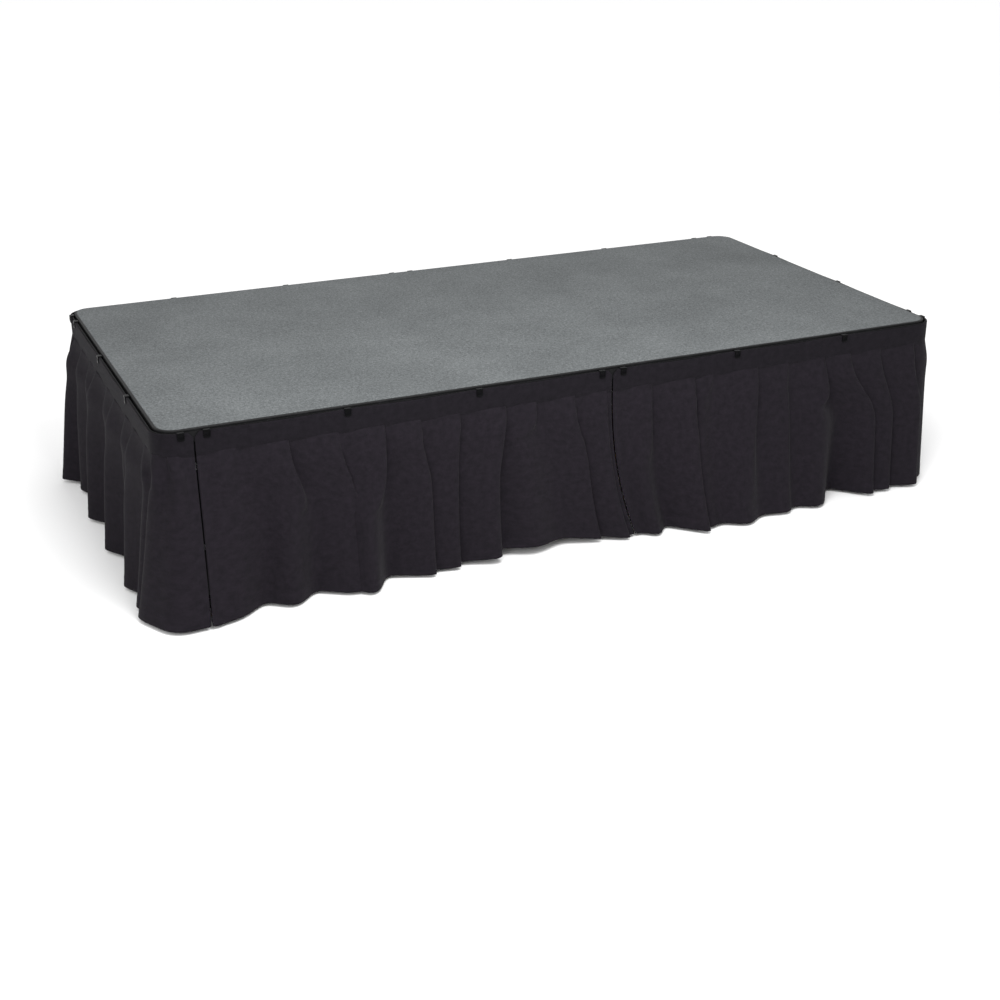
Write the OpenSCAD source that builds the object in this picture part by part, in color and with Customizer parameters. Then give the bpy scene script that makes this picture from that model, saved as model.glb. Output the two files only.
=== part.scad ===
// Stage riser platform: a carpeted deck on a steel frame with folding leg frames,
// knee braces, levelling glides and six gathered skirt panels that hook onto a rail.
// X runs along the deck, Y across it, Z up; the origin is on the floor under the deck's centre.

/* [Deck] */
// Length of the deck along X
deck_l = 1829; // [1700:1:2440]
// Width of the deck along Y
deck_w = 914; // [850:1:1220]
// Height of the walking surface above the floor
deck_h = 406; // [400:1:420]
// Radius of the deck's corners in plan
corner_r = 40; // [32:1:60]
// Thickness of the carpet
carpet_t = 5; // [3:1:8]
// Thickness of the plywood board
board_t = 18; // [15:1:24]
// Width of the edge moulding seen from above
mould_w = 5; // [4:1:6]

/* [Frame] */
// Outside size of the square frame tube
frame_tube = 40; // [36:1:40]
// Wall of every steel tube
tube_wall = 2; // [1.5:0.5:3]
// Distance from the deck's edge to the frame
frame_inset = 30; // [30:1:40]

/* [Legs] */
// Outside size of the square leg tube
leg_tube = 30; // [26:1:30]
// Distance from the deck's end to the leg pivot
leg_from_end = 75; // [75:5:120]
// Distance from the leg pivot to the brace's anchor under the deck
brace_on_deck = 200; // [200:1:206]
// Distance from the leg pivot to the brace's pin on the leg
brace_on_leg = 180; // [176:1:182]
// Outside size of the square crossbars of a leg frame
crossbar = 20; // [16:1:20]

/* [Skirt] */
// Number of folds shown in each skirt panel
folds = 9; // [6:1:12]
// How far the folds stand out
fold_depth = 40; // [20:1:44]
// Height of the flat band at the top of a panel
header_h = 50; // [40:1:60]
// Gap between the skirt and the floor
hem_gap = 8; // [5:1:20]
// Gap between neighbouring panels
panel_gap = 5; // [4:1:10]
// Number of clips on each panel
clips_each = 4; // [3:1:6]

/* [Hidden] */
$fn = 48;

// Levels, from the top down
carpet_z = deck_h - carpet_t;
board_z = carpet_z - board_t;
frame_z = board_z - frame_tube;

// Edge moulding: a crowned band with a barb pressed into the board's edge
mould_top = deck_h - 1;
mould_round = 2;
barb_in = 8;
barb_t = 2;
barb_z = board_z + board_t / 2;

// Skirt rail: a flange under the board with an upstand that the clips hook over
rail_t = 2;
rail_in = 24;
rail_out = 7;
rail_top = deck_h - 5;
rail_gap = 0.5;
rail_screw_in = 16;

// Play between pieces that touch, and between a turning pin and its hole
play = 0.4;
pin_play = 0.1;

// Leg pivot, measured in the quarter where X and Y are positive
pivot_x = deck_l / 2 - leg_from_end;
pivot_y = deck_w / 2 - frame_inset - frame_tube / 2;
bracket_t = 4;
pivot_z = frame_z - 27;
lug_r = 18;
cheek_gap = leg_tube / 2 + play;
bracket_half = 40;
bracket_bolt_at = 27;
leg_foot_z = 26;

// Planes of the brace, counted from the leg's inner face towards the middle of the deck
leg_inner_y = pivot_y - leg_tube / 2;
link_t = 5;
link_r = 11;
lower_link_y = leg_inner_y - 3 - link_t;
upper_link_y = lower_link_y - 2 - play - link_t;
anchor_plate_y = upper_link_y - play - bracket_t;

// Brace: straight when the leg stands, folded flat on itself when the leg lies under the deck
brace_span = sqrt(pow(brace_on_deck, 2) + pow(brace_on_leg, 2));
upper_len = (brace_span + brace_on_deck - brace_on_leg) / 2;
lower_len = (brace_span - brace_on_deck + brace_on_leg) / 2;
anchor_x = pivot_x - brace_on_deck;
leg_pin_z = pivot_z - brace_on_leg;
knee_x = anchor_x + upper_len * brace_on_deck / brace_span;
knee_z = pivot_z - upper_len * brace_on_leg / brace_span;
brace_angle = atan2(brace_on_leg, brace_on_deck);
upper_bar_drop = 31;
lower_bar_drop = 230;

// Cross members: one over each pair of brace anchors, and two between them
cross_xs = [-anchor_x, -anchor_x / 3, anchor_x / 3, anchor_x];

// Skirt line: the deck's edge moved out to the middle of the header
header_t = 2.4;
header_out = rail_out + play + header_t / 2;
line_r = corner_r + header_out;
side_x = deck_l - 2 * corner_r;
side_y = deck_w - 2 * corner_r;
arc_len = PI / 2 * line_r;
half_line = side_x + side_y + 2 * arc_len;
panel_pitch = half_line / 3;
first_seam = 28;
clip_w = 14;
clip_in = 24;

// ---------- shapes that repeat ----------

// Plate with round corners, lying on z = 0
module rounded_plate(l, w, t, r) {
    translate([-l / 2 + r, -w / 2, 0]) cube([l - 2 * r, w, t]);
    translate([-l / 2, -w / 2 + r, 0]) cube([l, w - 2 * r, t]);
    for (sx = [-1, 1], sy = [-1, 1])
        translate([sx * (l / 2 - r), sy * (w / 2 - r), 0]) cylinder(h = t, r = r);
}

// Profile run along one straight side; profile x is the distance out from the deck's edge
module side_run(turn, half, len) {
    rotate([0, 0, turn]) translate([half, len / 2, 0]) rotate([90, 0, 0]) linear_extrude(len) children();
}

// Profile swept round the corner that begins at this turn
module corner_run(turn, cx, cy) {
    translate([cx, cy, 0]) rotate([0, 0, turn]) rotate_extrude(angle = 90) translate([corner_r, 0]) children();
}

module all_corner_runs() {
    corner_run(0, side_x / 2, side_y / 2) children();
    corner_run(90, -side_x / 2, side_y / 2) children();
    corner_run(180, -side_x / 2, -side_y / 2) children();
    corner_run(270, side_x / 2, -side_y / 2) children();
}

module edge_ring() {
    side_run(0, deck_l / 2, side_y) children();
    side_run(180, deck_l / 2, side_y) children();
    side_run(90, deck_w / 2, side_x) children();
    side_run(270, deck_w / 2, side_x) children();
    all_corner_runs() children();
}

module tube_x(len, size) {
    difference() {
        translate([-len / 2, -size / 2, -size / 2]) cube([len, size, size]);
        translate([-len / 2 - 1, -size / 2 + tube_wall, -size / 2 + tube_wall])
            cube([len + 2, size - 2 * tube_wall, size - 2 * tube_wall]);
    }
}

module tube_y(len, size) {
    rotate([0, 0, 90]) tube_x(len, size);
}

module rod_y(x, y0, y1, z, r) {
    translate([x, y0, z]) rotate([-90, 0, 0]) cylinder(h = y1 - y0, r = r);
}

module hex_y(x, y0, y1, z, across) {
    translate([x, y0, z]) rotate([-90, 0, 0]) cylinder(h = y1 - y0, r = across / sqrt(3), $fn = 6);
}

// Flat bar with round ends between two points of the XZ plane
module flat_link(a, b, r, y0, t) {
    dir = atan2(b[1] - a[1], b[0] - a[0]);
    len = norm(b - a);
    steps = 10;
    outline = concat(
        [for (i = [0:steps]) [r * cos(90 + 180 * i / steps), r * sin(90 + 180 * i / steps)]],
        [for (i = [0:steps]) [len + r * cos(-90 + 180 * i / steps), r * sin(-90 + 180 * i / steps)]]);
    translate([a[0], y0 + t, a[1]]) rotate([90, 0, 0]) rotate([0, 0, dir]) linear_extrude(t) polygon(outline);
}

// Upright lug with a round lower end, its centre at (x, z)
module lug(x, z, top, r, y0, t) {
    steps = 12;
    outline = concat(
        [[r, top - z], [-r, top - z]],
        [for (i = [0:steps]) [r * cos(180 + 180 * i / steps), r * sin(180 + 180 * i / steps)]]);
    translate([x, y0 + t, z]) rotate([90, 0, 0]) linear_extrude(t) polygon(outline);
}

// The same thing at both ends of the deck, or at both sides
module both_x() {
    children();
    mirror([1, 0, 0]) children();
}

module both_y() {
    children();
    mirror([0, 1, 0]) children();
}

// Place a left or right thing that is drawn on the right
module on_side(s) {
    if (s < 0) mirror([1, 0, 0]) children();
    else children();
}

// Pan-head screw pointing up, its head's seat at z = 0
module pan_screw(r, len, head_r, head_h) {
    cylinder(h = len, r = r);
    translate([0, 0, -head_h]) cylinder(h = head_h, r = head_r);
}

// ---------- deck ----------

rail_screw_xs = [for (i = [-3:3]) i * side_x / 6.6];
rail_screw_ys = [for (i = [-1:1]) i * side_y / 2.4];
rail_screw_spots = concat(
    [for (x = rail_screw_xs, s = [-1, 1]) [x, s * (deck_w / 2 - rail_screw_in)]],
    [for (y = rail_screw_ys, s = [-1, 1]) [s * (deck_l / 2 - rail_screw_in), y]],
    [for (sx = [-1, 1], sy = [-1, 1])
        [sx * (side_x / 2 + (corner_r - rail_screw_in) * cos(45)),
         sy * (side_y / 2 + (corner_r - rail_screw_in) * sin(45))]]);
rail_screw_r = 2;

frame_mid_y = deck_w / 2 - frame_inset - frame_tube / 2;
frame_mid_x = deck_l / 2 - frame_inset - frame_tube / 2;
deck_screw_spots = concat(
    [for (x = [-2.5:1:2.5], s = [-1, 1]) [x * frame_mid_x / 3, s * frame_mid_y]],
    [for (s = [-1, 1], y = [-0.5, 0.5]) [s * frame_mid_x, y * frame_mid_y]],
    [for (x = cross_xs, y = [-0.4, 0.4]) [x, y * frame_mid_y]]);
deck_screw_r = 2.5;

// Holes through the end rails for the bolts that join the next deck
link_hole_y = 300;
link_hole_r = 5.5;

module carpet() {
    color("slategray")
        translate([0, 0, carpet_z])
            rounded_plate(deck_l - 2 * mould_w, deck_w - 2 * mould_w, carpet_t, corner_r - mould_w);
}

module plywood_deck() {
    color("burlywood")
        difference() {
            translate([0, 0, board_z])
                rounded_plate(deck_l - 2 * mould_w, deck_w - 2 * mould_w, board_t, corner_r - mould_w);
            edge_ring()
                translate([-mould_w - barb_in - pin_play, barb_z - barb_t / 2 - pin_play])
                    square([barb_in + 1, barb_t + 2 * pin_play]);
            for (p = rail_screw_spots)
                translate([p[0], p[1], board_z - 1]) cylinder(h = 13, r = rail_screw_r + pin_play);
            for (p = deck_screw_spots)
                translate([p[0], p[1], board_z - 1]) cylinder(h = 16, r = deck_screw_r + pin_play);
        }
}

module mould_profile() {
    r = mould_round;
    polygon(concat(
        [[-mould_w, board_z]],
        [for (a = [-90:22.5:0]) [-r + r * cos(a), board_z + r + r * sin(a)]],
        [for (a = [0:22.5:90]) [-r + r * cos(a), mould_top - r + r * sin(a)]],
        [[-mould_w, mould_top], [-mould_w, barb_z + barb_t / 2],
         [-mould_w - barb_in, barb_z + barb_t / 2], [-mould_w - barb_in, barb_z - barb_t / 2],
         [-mould_w, barb_z - barb_t / 2]]));
}

module edge_moulding() {
    color([0.05, 0.05, 0.055]) edge_ring() mould_profile();
}

// ---------- skirt rail ----------

module rail_profile() {
    polygon([
        [-rail_in, board_z - rail_t], [rail_out, board_z - rail_t], [rail_out, rail_top],
        [rail_out - rail_t, rail_top], [rail_out - rail_t, board_z], [-rail_in, board_z]]);
}

module rail_holes() {
    for (p = rail_screw_spots)
        translate([p[0], p[1], board_z - rail_t - 1]) cylinder(h = rail_t + 2, r = rail_screw_r + pin_play);
}

module skirt_rail(turn, half, len) {
    color([0.1, 0.1, 0.11])
        difference() {
            side_run(turn, half, len - 2 * rail_gap) rail_profile();
            rail_holes();
        }
}

module skirt_rail_corners() {
    color([0.1, 0.1, 0.11])
        difference() {
            all_corner_runs() rail_profile();
            rail_holes();
        }
}

module skirt_rail_screws() {
    color("gainsboro")
        for (p = rail_screw_spots)
            translate([p[0], p[1], board_z - rail_t]) pan_screw(rail_screw_r, 12, 4, 2.4);
}

// ---------- frame ----------

// Clearance through a tube under the board: a wide hole below and a screw hole above
module deck_screw_holes() {
    for (p = deck_screw_spots) {
        translate([p[0], p[1], frame_z - 1]) cylinder(h = frame_tube - tube_wall, r = 6);
        translate([p[0], p[1], board_z - tube_wall - 2]) cylinder(h = tube_wall + 3, r = deck_screw_r + pin_play);
    }
}

module frame_rail_long(s) {
    color("dimgray")
        difference() {
            translate([0, s * frame_mid_y, frame_z + frame_tube / 2])
                tube_x(deck_l - 2 * frame_inset, frame_tube);
            deck_screw_holes();
            for (x = [-pivot_x, pivot_x], d = [-bracket_bolt_at, bracket_bolt_at])
                translate([x + d, s * frame_mid_y, frame_z - 1]) cylinder(h = tube_wall + 2, r = 4 + pin_play);
        }
}

module frame_rail_short(s) {
    color("dimgray")
        difference() {
            translate([s * frame_mid_x, 0, frame_z + frame_tube / 2])
                tube_y(deck_w - 2 * frame_inset - 2 * frame_tube, frame_tube);
            deck_screw_holes();
            for (y = [-link_hole_y, link_hole_y])
                translate([s * frame_mid_x - frame_tube, y, frame_z + frame_tube / 2])
                    rotate([0, 90, 0]) cylinder(h = 2 * frame_tube, r = link_hole_r);
        }
}

module frame_cross_members() {
    color("dimgray")
        for (x = cross_xs)
            difference() {
                translate([x, 0, frame_z + frame_tube / 2])
                    tube_y(deck_w - 2 * frame_inset - 2 * frame_tube, frame_tube);
                deck_screw_holes();
            }
}

module frame_end_caps() {
    end_x = deck_l / 2 - frame_inset;
    plug = frame_tube - 2 * tube_wall - 2 * pin_play;
    depth = 10;
    color([0.08, 0.08, 0.08])
        both_x() both_y() translate([end_x, frame_mid_y, frame_z + frame_tube / 2]) {
            translate([0, -frame_tube / 2, -frame_tube / 2]) cube([1.5, frame_tube, frame_tube]);
            translate([-depth, -plug / 2, -plug / 2]) cube([depth, plug, plug]);
        }
}

module deck_screws() {
    color("gainsboro")
        for (p = deck_screw_spots)
            translate([p[0], p[1], board_z - tube_wall]) pan_screw(deck_screw_r, tube_wall + 14, 5, 3);
}

// ---------- leg pivots and brace anchors under the frame ----------

module pivot_bracket() {
    plate_y0 = pivot_y - cheek_gap - bracket_t;
    plate_w = 2 * (cheek_gap + bracket_t);
    difference() {
        union() {
            translate([pivot_x - bracket_half, plate_y0, frame_z - bracket_t])
                cube([2 * bracket_half, plate_w, bracket_t]);
            lug(pivot_x, pivot_z, frame_z - 1, lug_r, pivot_y + cheek_gap, bracket_t);
            lug(pivot_x, pivot_z, frame_z - 1, lug_r, plate_y0, bracket_t);
        }
        rod_y(pivot_x, plate_y0 - 1, plate_y0 + plate_w + 1, pivot_z, 5 + pin_play);
        for (d = [-bracket_bolt_at, bracket_bolt_at])
            translate([pivot_x + d, pivot_y, frame_z - bracket_t - 1]) cylinder(h = bracket_t + 2, r = 4 + pin_play);
    }
}

module leg_pivot_brackets() {
    color("dimgray") both_x() both_y() pivot_bracket();
}

// M8 bolt up through the bracket and the rail's lower wall, with its nut inside the rail
module bracket_bolt() {
    translate([0, 0, -5]) cylinder(h = 5, r = 13 / sqrt(3), $fn = 6);
    cylinder(h = 18, r = 4);
    translate([0, 0, bracket_t + tube_wall]) cylinder(h = 6.5, r = 13 / sqrt(3), $fn = 6);
}

module bracket_bolts() {
    color("silver")
        both_x() both_y() for (d = [-bracket_bolt_at, bracket_bolt_at])
            translate([pivot_x + d, pivot_y, frame_z - bracket_t]) bracket_bolt();
}

module leg_pivot_bolts() {
    outer = pivot_y + cheek_gap + bracket_t;
    inner = pivot_y - cheek_gap - bracket_t;
    color("silver")
        both_x() both_y() {
            rod_y(pivot_x, inner - 7, outer, pivot_z, 5);
            hex_y(pivot_x, outer, outer + 6, pivot_z, 16);
            hex_y(pivot_x, inner - 6, inner, pivot_z, 16);
        }
}

module brace_anchor_brackets() {
    color("dimgray")
        both_x() both_y() difference() {
            lug(anchor_x, pivot_z, frame_z, 12, anchor_plate_y, bracket_t);
            rod_y(anchor_x, anchor_plate_y - 1, anchor_plate_y + bracket_t + 1, pivot_z, 5 + pin_play);
        }
}

module brace_anchor_bolts() {
    outer = upper_link_y + link_t;
    color("silver")
        both_x() both_y() {
            rod_y(anchor_x, anchor_plate_y - 7, outer, pivot_z, 5);
            rod_y(anchor_x, outer, outer + 1, pivot_z, 5);
            rod_y(anchor_x, outer + 0.2, outer + 2, pivot_z, 8);
            hex_y(anchor_x, anchor_plate_y - 6, anchor_plate_y, pivot_z, 15);
        }
}

// ---------- leg frame, drawn for the right end ----------

module leg_tube(s, sy) {
    top = pivot_z + leg_tube / 2;
    len = top - leg_foot_z;
    color([0.13, 0.13, 0.14]) on_side(s)
        difference() {
            translate([pivot_x, sy * pivot_y, leg_foot_z + len / 2]) rotate([0, 90, 0]) tube_x(len, leg_tube);
            rod_y(pivot_x, sy * pivot_y - leg_tube, sy * pivot_y + leg_tube, pivot_z, 5 + pin_play);
            rod_y(pivot_x, sy * pivot_y - leg_tube, sy * pivot_y + leg_tube, leg_pin_z, 4 + pin_play);
        }
}

module leg_crossbar(s, drop) {
    color([0.13, 0.13, 0.14]) on_side(s)
        translate([pivot_x, 0, pivot_z - drop]) tube_y(2 * leg_inner_y, crossbar);
}

module leg_pivot_sleeves(s) {
    half = leg_tube / 2 - tube_wall;
    color("silver") on_side(s) both_y()
        difference() {
            rod_y(pivot_x, pivot_y - half, pivot_y + half, pivot_z, 8);
            rod_y(pivot_x, pivot_y - half - 1, pivot_y + half + 1, pivot_z, 5 + pin_play);
        }
}

module leg_end_plugs(s) {
    plug = leg_tube - 2 * tube_wall - 2 * pin_play;
    color([0.08, 0.08, 0.08]) on_side(s) both_y()
        difference() {
            translate([pivot_x, pivot_y, 0]) {
                translate([-leg_tube / 2, -leg_tube / 2, leg_foot_z - 2]) cube([leg_tube, leg_tube, 2]);
                translate([-plug / 2, -plug / 2, leg_foot_z]) cube([plug, plug, 24]);
            }
            translate([pivot_x, pivot_y, leg_foot_z - 3]) cylinder(h = 28, r = 5 + pin_play);
        }
}

// Rivet through the leg that carries the lower link, with a spacer washer
module brace_leg_rivets(s) {
    outer = pivot_y + leg_tube / 2;
    color("silver") on_side(s) both_y() {
        rod_y(pivot_x, lower_link_y, outer, leg_pin_z, 4);
        rod_y(pivot_x, outer, outer + 3, leg_pin_z, 8);
        rod_y(pivot_x, lower_link_y + link_t + 0.1, leg_inner_y, leg_pin_z, 8);
        rod_y(pivot_x, lower_link_y - 2, lower_link_y - 0.1, leg_pin_z, 7);
        rod_y(pivot_x, lower_link_y - 1, lower_link_y + 1, leg_pin_z, 4);
    }
}

module brace_upper_links(s) {
    color("darkgray") on_side(s) both_y()
        difference() {
            flat_link([anchor_x, pivot_z], [knee_x, knee_z], link_r, upper_link_y, link_t);
            rod_y(anchor_x, upper_link_y - 1, upper_link_y + link_t + 1, pivot_z, 5 + pin_play);
            rod_y(knee_x, upper_link_y - 1, upper_link_y + link_t + 1, knee_z, 6);
        }
}

// Round bar between the two knees: the hand pulls on it to break the lock
module brace_release_bar(s) {
    collar = upper_link_y + link_t;
    color("darkgray") on_side(s) {
        rod_y(knee_x, -collar, collar, knee_z, 6);
        both_y() rod_y(knee_x, collar, collar + 2, knee_z, 9);
    }
}

module brace_lower_links(s) {
    color("darkgray") on_side(s) both_y()
        difference() {
            flat_link([pivot_x, leg_pin_z], [knee_x, knee_z], link_r, lower_link_y, link_t);
            rod_y(pivot_x, lower_link_y - 1, lower_link_y + link_t + 1, leg_pin_z, 4 + pin_play);
            rod_y(knee_x, lower_link_y - 1, lower_link_y + link_t + 1, knee_z, 4);
        }
}

module knee_rivets(s) {
    color("silver") on_side(s) both_y() {
        rod_y(knee_x, lower_link_y, lower_link_y + link_t, knee_z, 4);
        rod_y(knee_x, lower_link_y + link_t, lower_link_y + link_t + 2.4, knee_z, 7.5);
    }
}

// Levelling glide: rubber pad, cone base, hex and threaded stem
module glide(s, sy) {
    color([0.2, 0.2, 0.2]) translate([s * pivot_x, sy * pivot_y, 0]) {
        cylinder(h = 3, r = 20);
        translate([0, 0, 3]) cylinder(h = 12, r1 = 19, r2 = 9);
        translate([0, 0, 15]) cylinder(h = leg_foot_z - 2 - 0.2 - 15, r = 17 / sqrt(3), $fn = 6);
        translate([0, 0, 15]) cylinder(h = 33, r = 5);
    }
}

// ---------- skirt ----------

// Point of the skirt line at distance s, as [corner or edge point, outward angle]; s = 0 is the
// front edge's left end and s grows to the right, round the deck
function half_at(s) =
    s < side_x ? [[-side_x / 2 + s, -side_y / 2], -90]
    : s < side_x + arc_len ? [[side_x / 2, -side_y / 2], -90 + 90 * (s - side_x) / arc_len]
    : s < side_x + arc_len + side_y ? [[side_x / 2, -side_y / 2 + s - side_x - arc_len], 0]
    : [[side_x / 2, side_y / 2], 90 * (s - side_x - arc_len - side_y) / arc_len];
function line_at(s) = s < 0 ? line_at(s + 2 * half_line)
    : s < half_line ? half_at(s)
    : s < 2 * half_line ? [-half_at(s - half_line)[0], half_at(s - half_line)[1] + 180]
    : line_at(s - 2 * half_line);
// The point that far out from the deck's edge
function out_at(s, out) = let (p = line_at(s))
    p[0] + (corner_r + out) * [cos(p[1]), sin(p[1])];

function panel_start(i) = first_seam + i * panel_pitch + panel_gap / 2;
panel_len = panel_pitch - panel_gap;
fold_steps = 8;
panel_steps = folds * fold_steps;
function fold_out(k) = header_out + fold_depth * (1 - cos(360 * k / fold_steps)) / 2;

// Strip of cloth in plan, its middle line out from the deck's edge by outs
module strip(start, outs, t) {
    n = len(outs) - 1;
    polygon(concat(
        [for (k = [0:n]) out_at(start + panel_len * k / n, outs[k] + t / 2)],
        [for (k = [n:-1:0]) out_at(start + panel_len * k / n, outs[k] - t / 2)]));
}

module skirt_panel(i) {
    start = panel_start(i);
    header_z = rail_top - header_h;
    color([0.16, 0.16, 0.17]) {
        translate([0, 0, header_z]) linear_extrude(header_h)
            strip(start, [for (k = [0:panel_steps * 2]) header_out], header_t);
        translate([0, 0, hem_gap]) linear_extrude(header_z + 5 - hem_gap)
            strip(start, [for (k = [0:panel_steps]) fold_out(k)], header_t);
    }
}

// Clip that grips the header's top edge and hooks over the rail's upstand
module skirt_clip(s) {
    p = line_at(s);
    tongue_in = 1.5;
    plate_out = rail_out + play + header_t + 0.3;
    translate([p[0][0], p[0][1], 0]) rotate([0, 0, p[1]]) translate([corner_r, -clip_w / 2, 0]) {
        translate([tongue_in, 0, rail_top - 13]) cube([2, clip_w, 15.2]);
        translate([tongue_in, 0, rail_top + 0.2]) cube([plate_out + 2 - tongue_in, clip_w, 2]);
        translate([plate_out, 0, rail_top - 12]) cube([2, clip_w, 14.2]);
    }
}

module skirt_clips(i) {
    step = (panel_len - 2 * clip_in) / (clips_each - 1);
    color([0.03, 0.03, 0.03])
        for (k = [0:clips_each - 1]) skirt_clip(panel_start(i) + clip_in + k * step);
}

// ---------- nodes ----------

carpet();
plywood_deck();
edge_moulding();
skirt_rail(270, deck_w / 2, side_x);  // skirt_rail_front
skirt_rail(90, deck_w / 2, side_x);  // skirt_rail_rear
skirt_rail(180, deck_l / 2, side_y);  // skirt_rail_left
skirt_rail(0, deck_l / 2, side_y);  // skirt_rail_right
skirt_rail_corners();
skirt_rail_screws();
frame_rail_long(-1);  // frame_rail_front
frame_rail_long(1);  // frame_rail_rear
frame_rail_short(-1);  // frame_rail_left
frame_rail_short(1);  // frame_rail_right
frame_cross_members();
frame_end_caps();
deck_screws();
leg_pivot_brackets();
bracket_bolts();
leg_pivot_bolts();
brace_anchor_brackets();
brace_anchor_bolts();
leg_tube(-1, -1);  // left_leg_tube_front
leg_tube(-1, 1);  // left_leg_tube_rear
leg_crossbar(-1, upper_bar_drop);  // left_leg_crossbar_upper
leg_crossbar(-1, lower_bar_drop);  // left_leg_crossbar_lower
leg_pivot_sleeves(-1);  // left_leg_pivot_sleeves
leg_end_plugs(-1);  // left_leg_end_plugs
brace_leg_rivets(-1);  // left_brace_leg_rivets
brace_upper_links(-1);  // left_brace_upper_links
brace_release_bar(-1);  // left_brace_release_bar
brace_lower_links(-1);  // left_brace_lower_links
knee_rivets(-1);  // left_knee_rivets
leg_tube(1, -1);  // right_leg_tube_front
leg_tube(1, 1);  // right_leg_tube_rear
leg_crossbar(1, upper_bar_drop);  // right_leg_crossbar_upper
leg_crossbar(1, lower_bar_drop);  // right_leg_crossbar_lower
leg_pivot_sleeves(1);  // right_leg_pivot_sleeves
leg_end_plugs(1);  // right_leg_end_plugs
brace_leg_rivets(1);  // right_brace_leg_rivets
brace_upper_links(1);  // right_brace_upper_links
brace_release_bar(1);  // right_brace_release_bar
brace_lower_links(1);  // right_brace_lower_links
knee_rivets(1);  // right_knee_rivets
glide(-1, -1);  // glide_front_left
glide(1, -1);  // glide_front_right
glide(-1, 1);  // glide_rear_left
glide(1, 1);  // glide_rear_right
skirt_panel(0);  // skirt_front_left
skirt_panel(1);  // skirt_front_right
skirt_panel(2);  // skirt_right
skirt_panel(3);  // skirt_rear_right
skirt_panel(4);  // skirt_rear_left
skirt_panel(5);  // skirt_left
skirt_clips(0);  // clips_front_left
skirt_clips(1);  // clips_front_right
skirt_clips(2);  // clips_right
skirt_clips(3);  // clips_rear_right
skirt_clips(4);  // clips_rear_left
skirt_clips(5);  // clips_left
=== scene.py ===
"""Stage riser platform: a carpeted plywood deck on folding steel legs, with a pleated clip-on skirt.

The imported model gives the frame. This script dresses it: it hangs the six skirt panels by cloth
simulation, lays the carpet, moulds the clips and the feet, runs the weld beads and gives every piece
its finish.
All lengths are in metres, except where a name ends in _mm.
"""

import logging
import math
import random
from dataclasses import dataclass, field, replace
from enum import Enum
from typing import Any, Callable, Sequence

import bmesh
import bpy
import numpy as np
from mathutils import Matrix, Vector


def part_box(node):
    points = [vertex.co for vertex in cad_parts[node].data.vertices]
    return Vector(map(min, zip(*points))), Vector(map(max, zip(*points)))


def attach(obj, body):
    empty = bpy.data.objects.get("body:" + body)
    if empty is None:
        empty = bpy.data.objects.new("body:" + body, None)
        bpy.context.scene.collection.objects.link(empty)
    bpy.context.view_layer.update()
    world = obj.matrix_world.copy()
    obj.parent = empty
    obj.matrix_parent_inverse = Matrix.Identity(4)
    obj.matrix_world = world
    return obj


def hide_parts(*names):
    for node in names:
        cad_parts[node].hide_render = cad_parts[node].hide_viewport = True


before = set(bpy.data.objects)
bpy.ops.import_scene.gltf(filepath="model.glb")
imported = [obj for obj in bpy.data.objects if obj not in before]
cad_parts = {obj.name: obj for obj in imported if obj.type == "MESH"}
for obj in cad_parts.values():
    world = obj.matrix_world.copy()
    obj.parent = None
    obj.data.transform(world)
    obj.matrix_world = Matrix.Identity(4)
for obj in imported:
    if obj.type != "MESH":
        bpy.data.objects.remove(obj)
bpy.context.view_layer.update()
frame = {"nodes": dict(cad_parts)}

LOG = logging.getLogger("stage_riser")
MM = 0.001
CLOTH_UV = "cloth"


# ---------- colour and node helpers ----------


def linear(hex_colour: str) -> tuple[float, float, float, float]:
    """Turns an sRGB hex colour into the linear values that Blender's sockets take.

    Args:
        hex_colour: six hex digits, with or without a leading hash.

    Returns:
        Linear red, green and blue, and an alpha of 1.
    """
    digits = hex_colour.lstrip("#")
    channels = [int(digits[i : i + 2], 16) / 255 for i in (0, 2, 4)]
    red, green, blue = [c / 12.92 if c <= 0.04045 else ((c + 0.055) / 1.055) ** 2.4 for c in channels]
    return red, green, blue, 1.0


def add_node(
    tree: bpy.types.NodeTree,
    kind: str,
    values: dict[str | int, Any] | None = None,
    links: dict[str | int, bpy.types.NodeSocket] | None = None,
    **settings: Any,
) -> bpy.types.Node:
    """Adds one node to a material.

    Args:
        tree: the material's node tree.
        kind: the node's class name, such as ShaderNodeTexNoise.
        values: constant values of input sockets, by name or number.
        links: output sockets that feed the input sockets, by name or number.
        settings: properties of the node itself.

    Returns:
        The new node.
    """
    node = tree.nodes.new(kind)
    for name, value in settings.items():
        setattr(node, name, value)
    for name, value in (values or {}).items():
        node.inputs[name].default_value = value
    for name, socket in (links or {}).items():
        tree.links.new(socket, node.inputs[name])
    return node


def set_ramp(node: bpy.types.Node, stops: Sequence[tuple[float, str]]) -> None:
    """Gives a colour ramp its stops.

    Args:
        node: the colour ramp node.
        stops: the place of each stop, from 0 to 1, and its sRGB hex colour.
    """
    elements = node.color_ramp.elements
    while len(elements) < len(stops):
        elements.new(0.5)
    for element, (place, colour) in zip(elements, stops):
        element.position = place
        element.color = linear(colour)


def new_material(name: str) -> tuple[bpy.types.Material, bpy.types.NodeTree, bpy.types.Node]:
    """Makes a material that holds only its surface shader.

    Args:
        name: the finish's name.

    Returns:
        The material, its node tree and its Principled shader node.
    """
    material = bpy.data.materials.new(name)
    material.use_nodes = True
    tree = material.node_tree
    tree.nodes.clear()
    surface = add_node(tree, "ShaderNodeBsdfPrincipled")
    add_node(tree, "ShaderNodeOutputMaterial", links={"Surface": surface.outputs["BSDF"]})
    return material, tree, surface


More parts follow.
